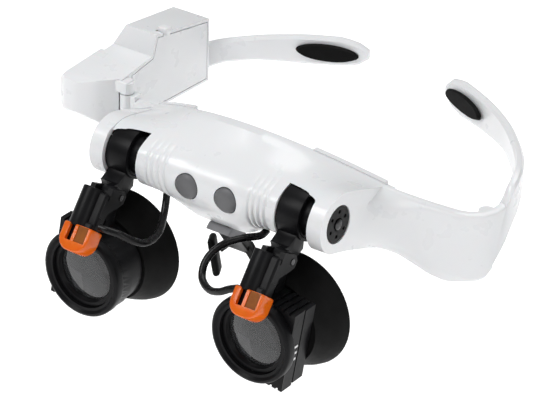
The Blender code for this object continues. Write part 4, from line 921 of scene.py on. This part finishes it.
def darken_below(mat, height, colour):
    """Paint the lower part of a finish another colour, with a short soft edge at that height."""
    nodes, links = mat.node_tree.nodes, mat.node_tree.links
    shader = nodes["Principled BSDF"]
    coords = nodes.new("ShaderNodeTexCoord")
    parts = nodes.new("ShaderNodeSeparateXYZ")
    links.new(coords.outputs["Object"], parts.inputs["Vector"])
    share = nodes.new("ShaderNodeMapRange")
    share.inputs["From Min"].default_value = height - 0.0005
    share.inputs["From Max"].default_value = height + 0.0005
    links.new(parts.outputs["Z"], share.inputs["Value"])
    mix = nodes.new("ShaderNodeMix")
    mix.data_type = "RGBA"
    mix.inputs["A"].default_value = (*colour, 1.0)
    links.new(share.outputs["Result"], mix.inputs["Factor"])
    before = shader.inputs["Base Color"].links[0].from_socket
    links.new(before, mix.inputs["B"])
    links.new(mix.outputs["Result"], shader.inputs["Base Color"])


GREY_HEIGHT = 4.5                    # only the top of the nose bracket is grey
darken_below(FINISH["nose_bracket_plastic"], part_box("nose_bracket")[1][2] - GREY_HEIGHT * MM,
             (0.004, 0.004, 0.004))
SLOT_OF = {row["node"]: row["material_slot"] for row in frame["record"]["subparts"]}
BODY_OF = {node: body for body, nodes in frame["record"]["behaviour"]["bodies"].items() for node in nodes}


def dress(obj, mat):
    obj.data.materials.clear()
    obj.data.materials.append(mat)


for node, cad in frame["nodes"].items():
    for slot in cad.material_slots:
        slot.material = FINISH[SLOT_OF[node]]


# ---- assembly ------------
SHARP_EDGE = 34.0                    # degrees between two faces that makes their edge sharp


def baked(obj):
    """The finished mesh of a piece, in the part's own frame, with its modifiers applied."""
    bpy.context.view_layer.update()
    graph = bpy.context.evaluated_depsgraph_get()
    made = bpy.data.meshes.new_from_object(obj.evaluated_get(graph))
    made.transform(obj.matrix_world)
    obj.modifiers.clear()
    obj.parent = None
    obj.matrix_world = Matrix.Identity(4)
    obj.data = made
    made.shade_smooth()
    made.set_sharp_from_angle(angle=math.radians(SHARP_EDGE))


def build():
    build_shell()
    build_nose()
    for name, side in SIDES.items():
        build_shaft(side, name)
        build_end_cap(side, name)
        build_button(side, name)
        cx = CLIP_X[name]
        build_clip(name, cx)
        build_cartridge(side, name, cx)
        build_holder(side, name, cx)
        build_lenses(name, cx)
        build_lamp(name, cx)
    build_left_arm()
    build_right_arm()
    build_battery_case()


def tube(name, points):
    """A length of cable along the points, in metres, closed at both ends."""
    bm = bmesh.new()
    lines = [after - before for before, after in zip(points, points[1:])]
    lines = [lines[0]] + [(a.normalized() + b.normalized()) for a, b in zip(lines, lines[1:])] + [lines[-1]]
    across = lines[0].orthogonal().normalized()
    rings = []
    for point, line in zip(points, lines):
        along = line.normalized()
        across = (across - along * across.dot(along)).normalized()
        other = along.cross(across)
        ring = []
        for k in range(CABLE_SIDES):
            turn = math.tau * k / CABLE_SIDES
            outwards = across * math.cos(turn) + other * math.sin(turn)
            ring.append(bm.verts.new(point + outwards * CABLE_R * MM))
        rings.append(ring)
    for ring, after in zip(rings, rings[1:]):
        for k in range(CABLE_SIDES):
            following = (k + 1) % CABLE_SIDES
            bm.faces.new((ring[k], ring[following], after[following], after[k]))
    bm.faces.new(rings[0][::-1])
    bm.faces.new(rings[-1])
    mesh = bpy.data.meshes.new(name)
    bm.to_mesh(mesh)
    bm.free()
    mesh.shade_smooth()
    mesh.set_sharp_from_angle(angle=math.radians(50))
    obj = bpy.data.objects.new(name, mesh)
    PARTS.objects.link(obj)
    dress(obj, FINISH["cable_jacket"])
    return obj


def distance_along(points):
    total = [0.0]
    for before, after in zip(points, points[1:]):
        total.append(total[-1] + (after - before).length)
    return total


def lay_cable(name):
    """Three meeting lengths of one cable along its route; the cable's CAD node is hidden."""
    offset = vec(*(-value for value in NOSE_REST))
    line = [Vector(point) * MM + offset for point in catmull(CABLE_ROUTES[name], 8)]
    total = distance_along(line)
    root_end, tail_start = CABLE_SPLIT[name][0] * MM, total[-1] - CABLE_SPLIT[name][1] * MM
    first = min(range(len(line)), key=lambda k: abs(total[k] - root_end))
    last = min(range(len(line)), key=lambda k: abs(total[k] - tail_start))
    root = tube(f"cable_{name}_root", line[:first + 1])
    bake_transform(root)
    tail = tube(f"cable_{name}_tail", line[last:])
    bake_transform(tail)
    run = line[first:last + 1]
    cord = tube(f"cable_{name}_run", run)
    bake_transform(cord)
    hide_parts(f"cable_{name}")


def fit_extra(obj, name):
    """A piece with no CAD node of its own takes its finish and body from the piece that it is on."""
    side = "left" if "_left" in name else "right"
    body, mat, slot_name = f"{side}_cartridge", INK, "black_plastic"
    if name.startswith("cap_pane"):
        body, mat, slot_name = f"{side}_lamp", AMBER, "orange_cap"
    # the reflection panes in the lenses take a painted highlight finish
    elif "glint" in obj:
        mat, slot_name = PAINTED_GLINTS[obj["glint"]], "lens_glass"
    dress(obj, mat)
    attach(obj, body)


def fit_skin(obj, node):
    """A piece stands for its CAD node, with that node's body and the finish of its slot."""
    obj.name = f"{node}_skin"
    dress(obj, FINISH[SLOT_OF[node]])
    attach(obj, BODY_OF[node])
    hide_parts(node)


build()
for piece in [obj for obj in PARTS.objects if obj.type == "MESH"]:
    baked(piece)
    fit = fit_skin if piece["node"] in SLOT_OF else fit_extra
    fit(piece, piece["node"])
for tool in list(CUTTERS.objects):
    bpy.data.objects.remove(tool, do_unlink=True)
for cable_side in CABLE_ROUTES:
    lay_cable(cable_side)


# ---- floor and light ------------
FLOOR_Z, FLOOR_HALF = -0.06, 4.0     # metres
FLOOR_GLOW = 0.4
LIGHT_TARGET = Vector((0.0, 0.02, 0.02))
WHITE = (1.0, 1.0, 1.0, 1.0)


def stage_floor():
    bm = bmesh.new()
    bmesh.ops.create_grid(bm, x_segments=2, y_segments=2, size=FLOOR_HALF)
    mesh = bpy.data.meshes.new("floor")
    bm.to_mesh(mesh)
    bm.free()
    floor = bpy.data.objects.new("floor", mesh)
    floor.location = (0.0, 0.0, FLOOR_Z)
    SCENE.collection.objects.link(floor)
    mat, _, _, shader = finish_nodes("pale_floor")
    shader.inputs["Base Color"].default_value = WHITE
    shader.inputs["Emission Color"].default_value = WHITE
    shader.inputs["Emission Strength"].default_value = FLOOR_GLOW
    shader.inputs["Roughness"].default_value = 0.85
    mesh.materials.append(mat)


def soft_light(name, place, size, power):
    data = bpy.data.lights.new(name, "AREA")
    data.shape = "RECTANGLE"
    data.size, data.size_y = size
    data.energy = power
    lamp = bpy.data.objects.new(name, data)
    lamp.location = place
    lamp.rotation_euler = (LIGHT_TARGET - Vector(place)).to_track_quat("-Z", "Y").to_euler()
    SCENE.collection.objects.link(lamp)


stage_floor()
soft_light("key", (-0.5, -0.9, 1.1), (0.7, 0.7), 8.6)
soft_light("fill", (1.1, -0.5, 0.5), (0.5, 0.7), 2.2)
soft_light("top", (0.0, 0.3, 1.2), (1.0, 0.8), 6.8)
world = bpy.data.worlds.new("world")
SCENE.world = world
world.use_nodes = True
world.node_tree.nodes["Background"].inputs["Color"].default_value = WHITE
world.node_tree.nodes["Background"].inputs["Strength"].default_value = 0.30
SCENE.view_settings.view_transform = "Standard"
SCENE.view_settings.look = "None"
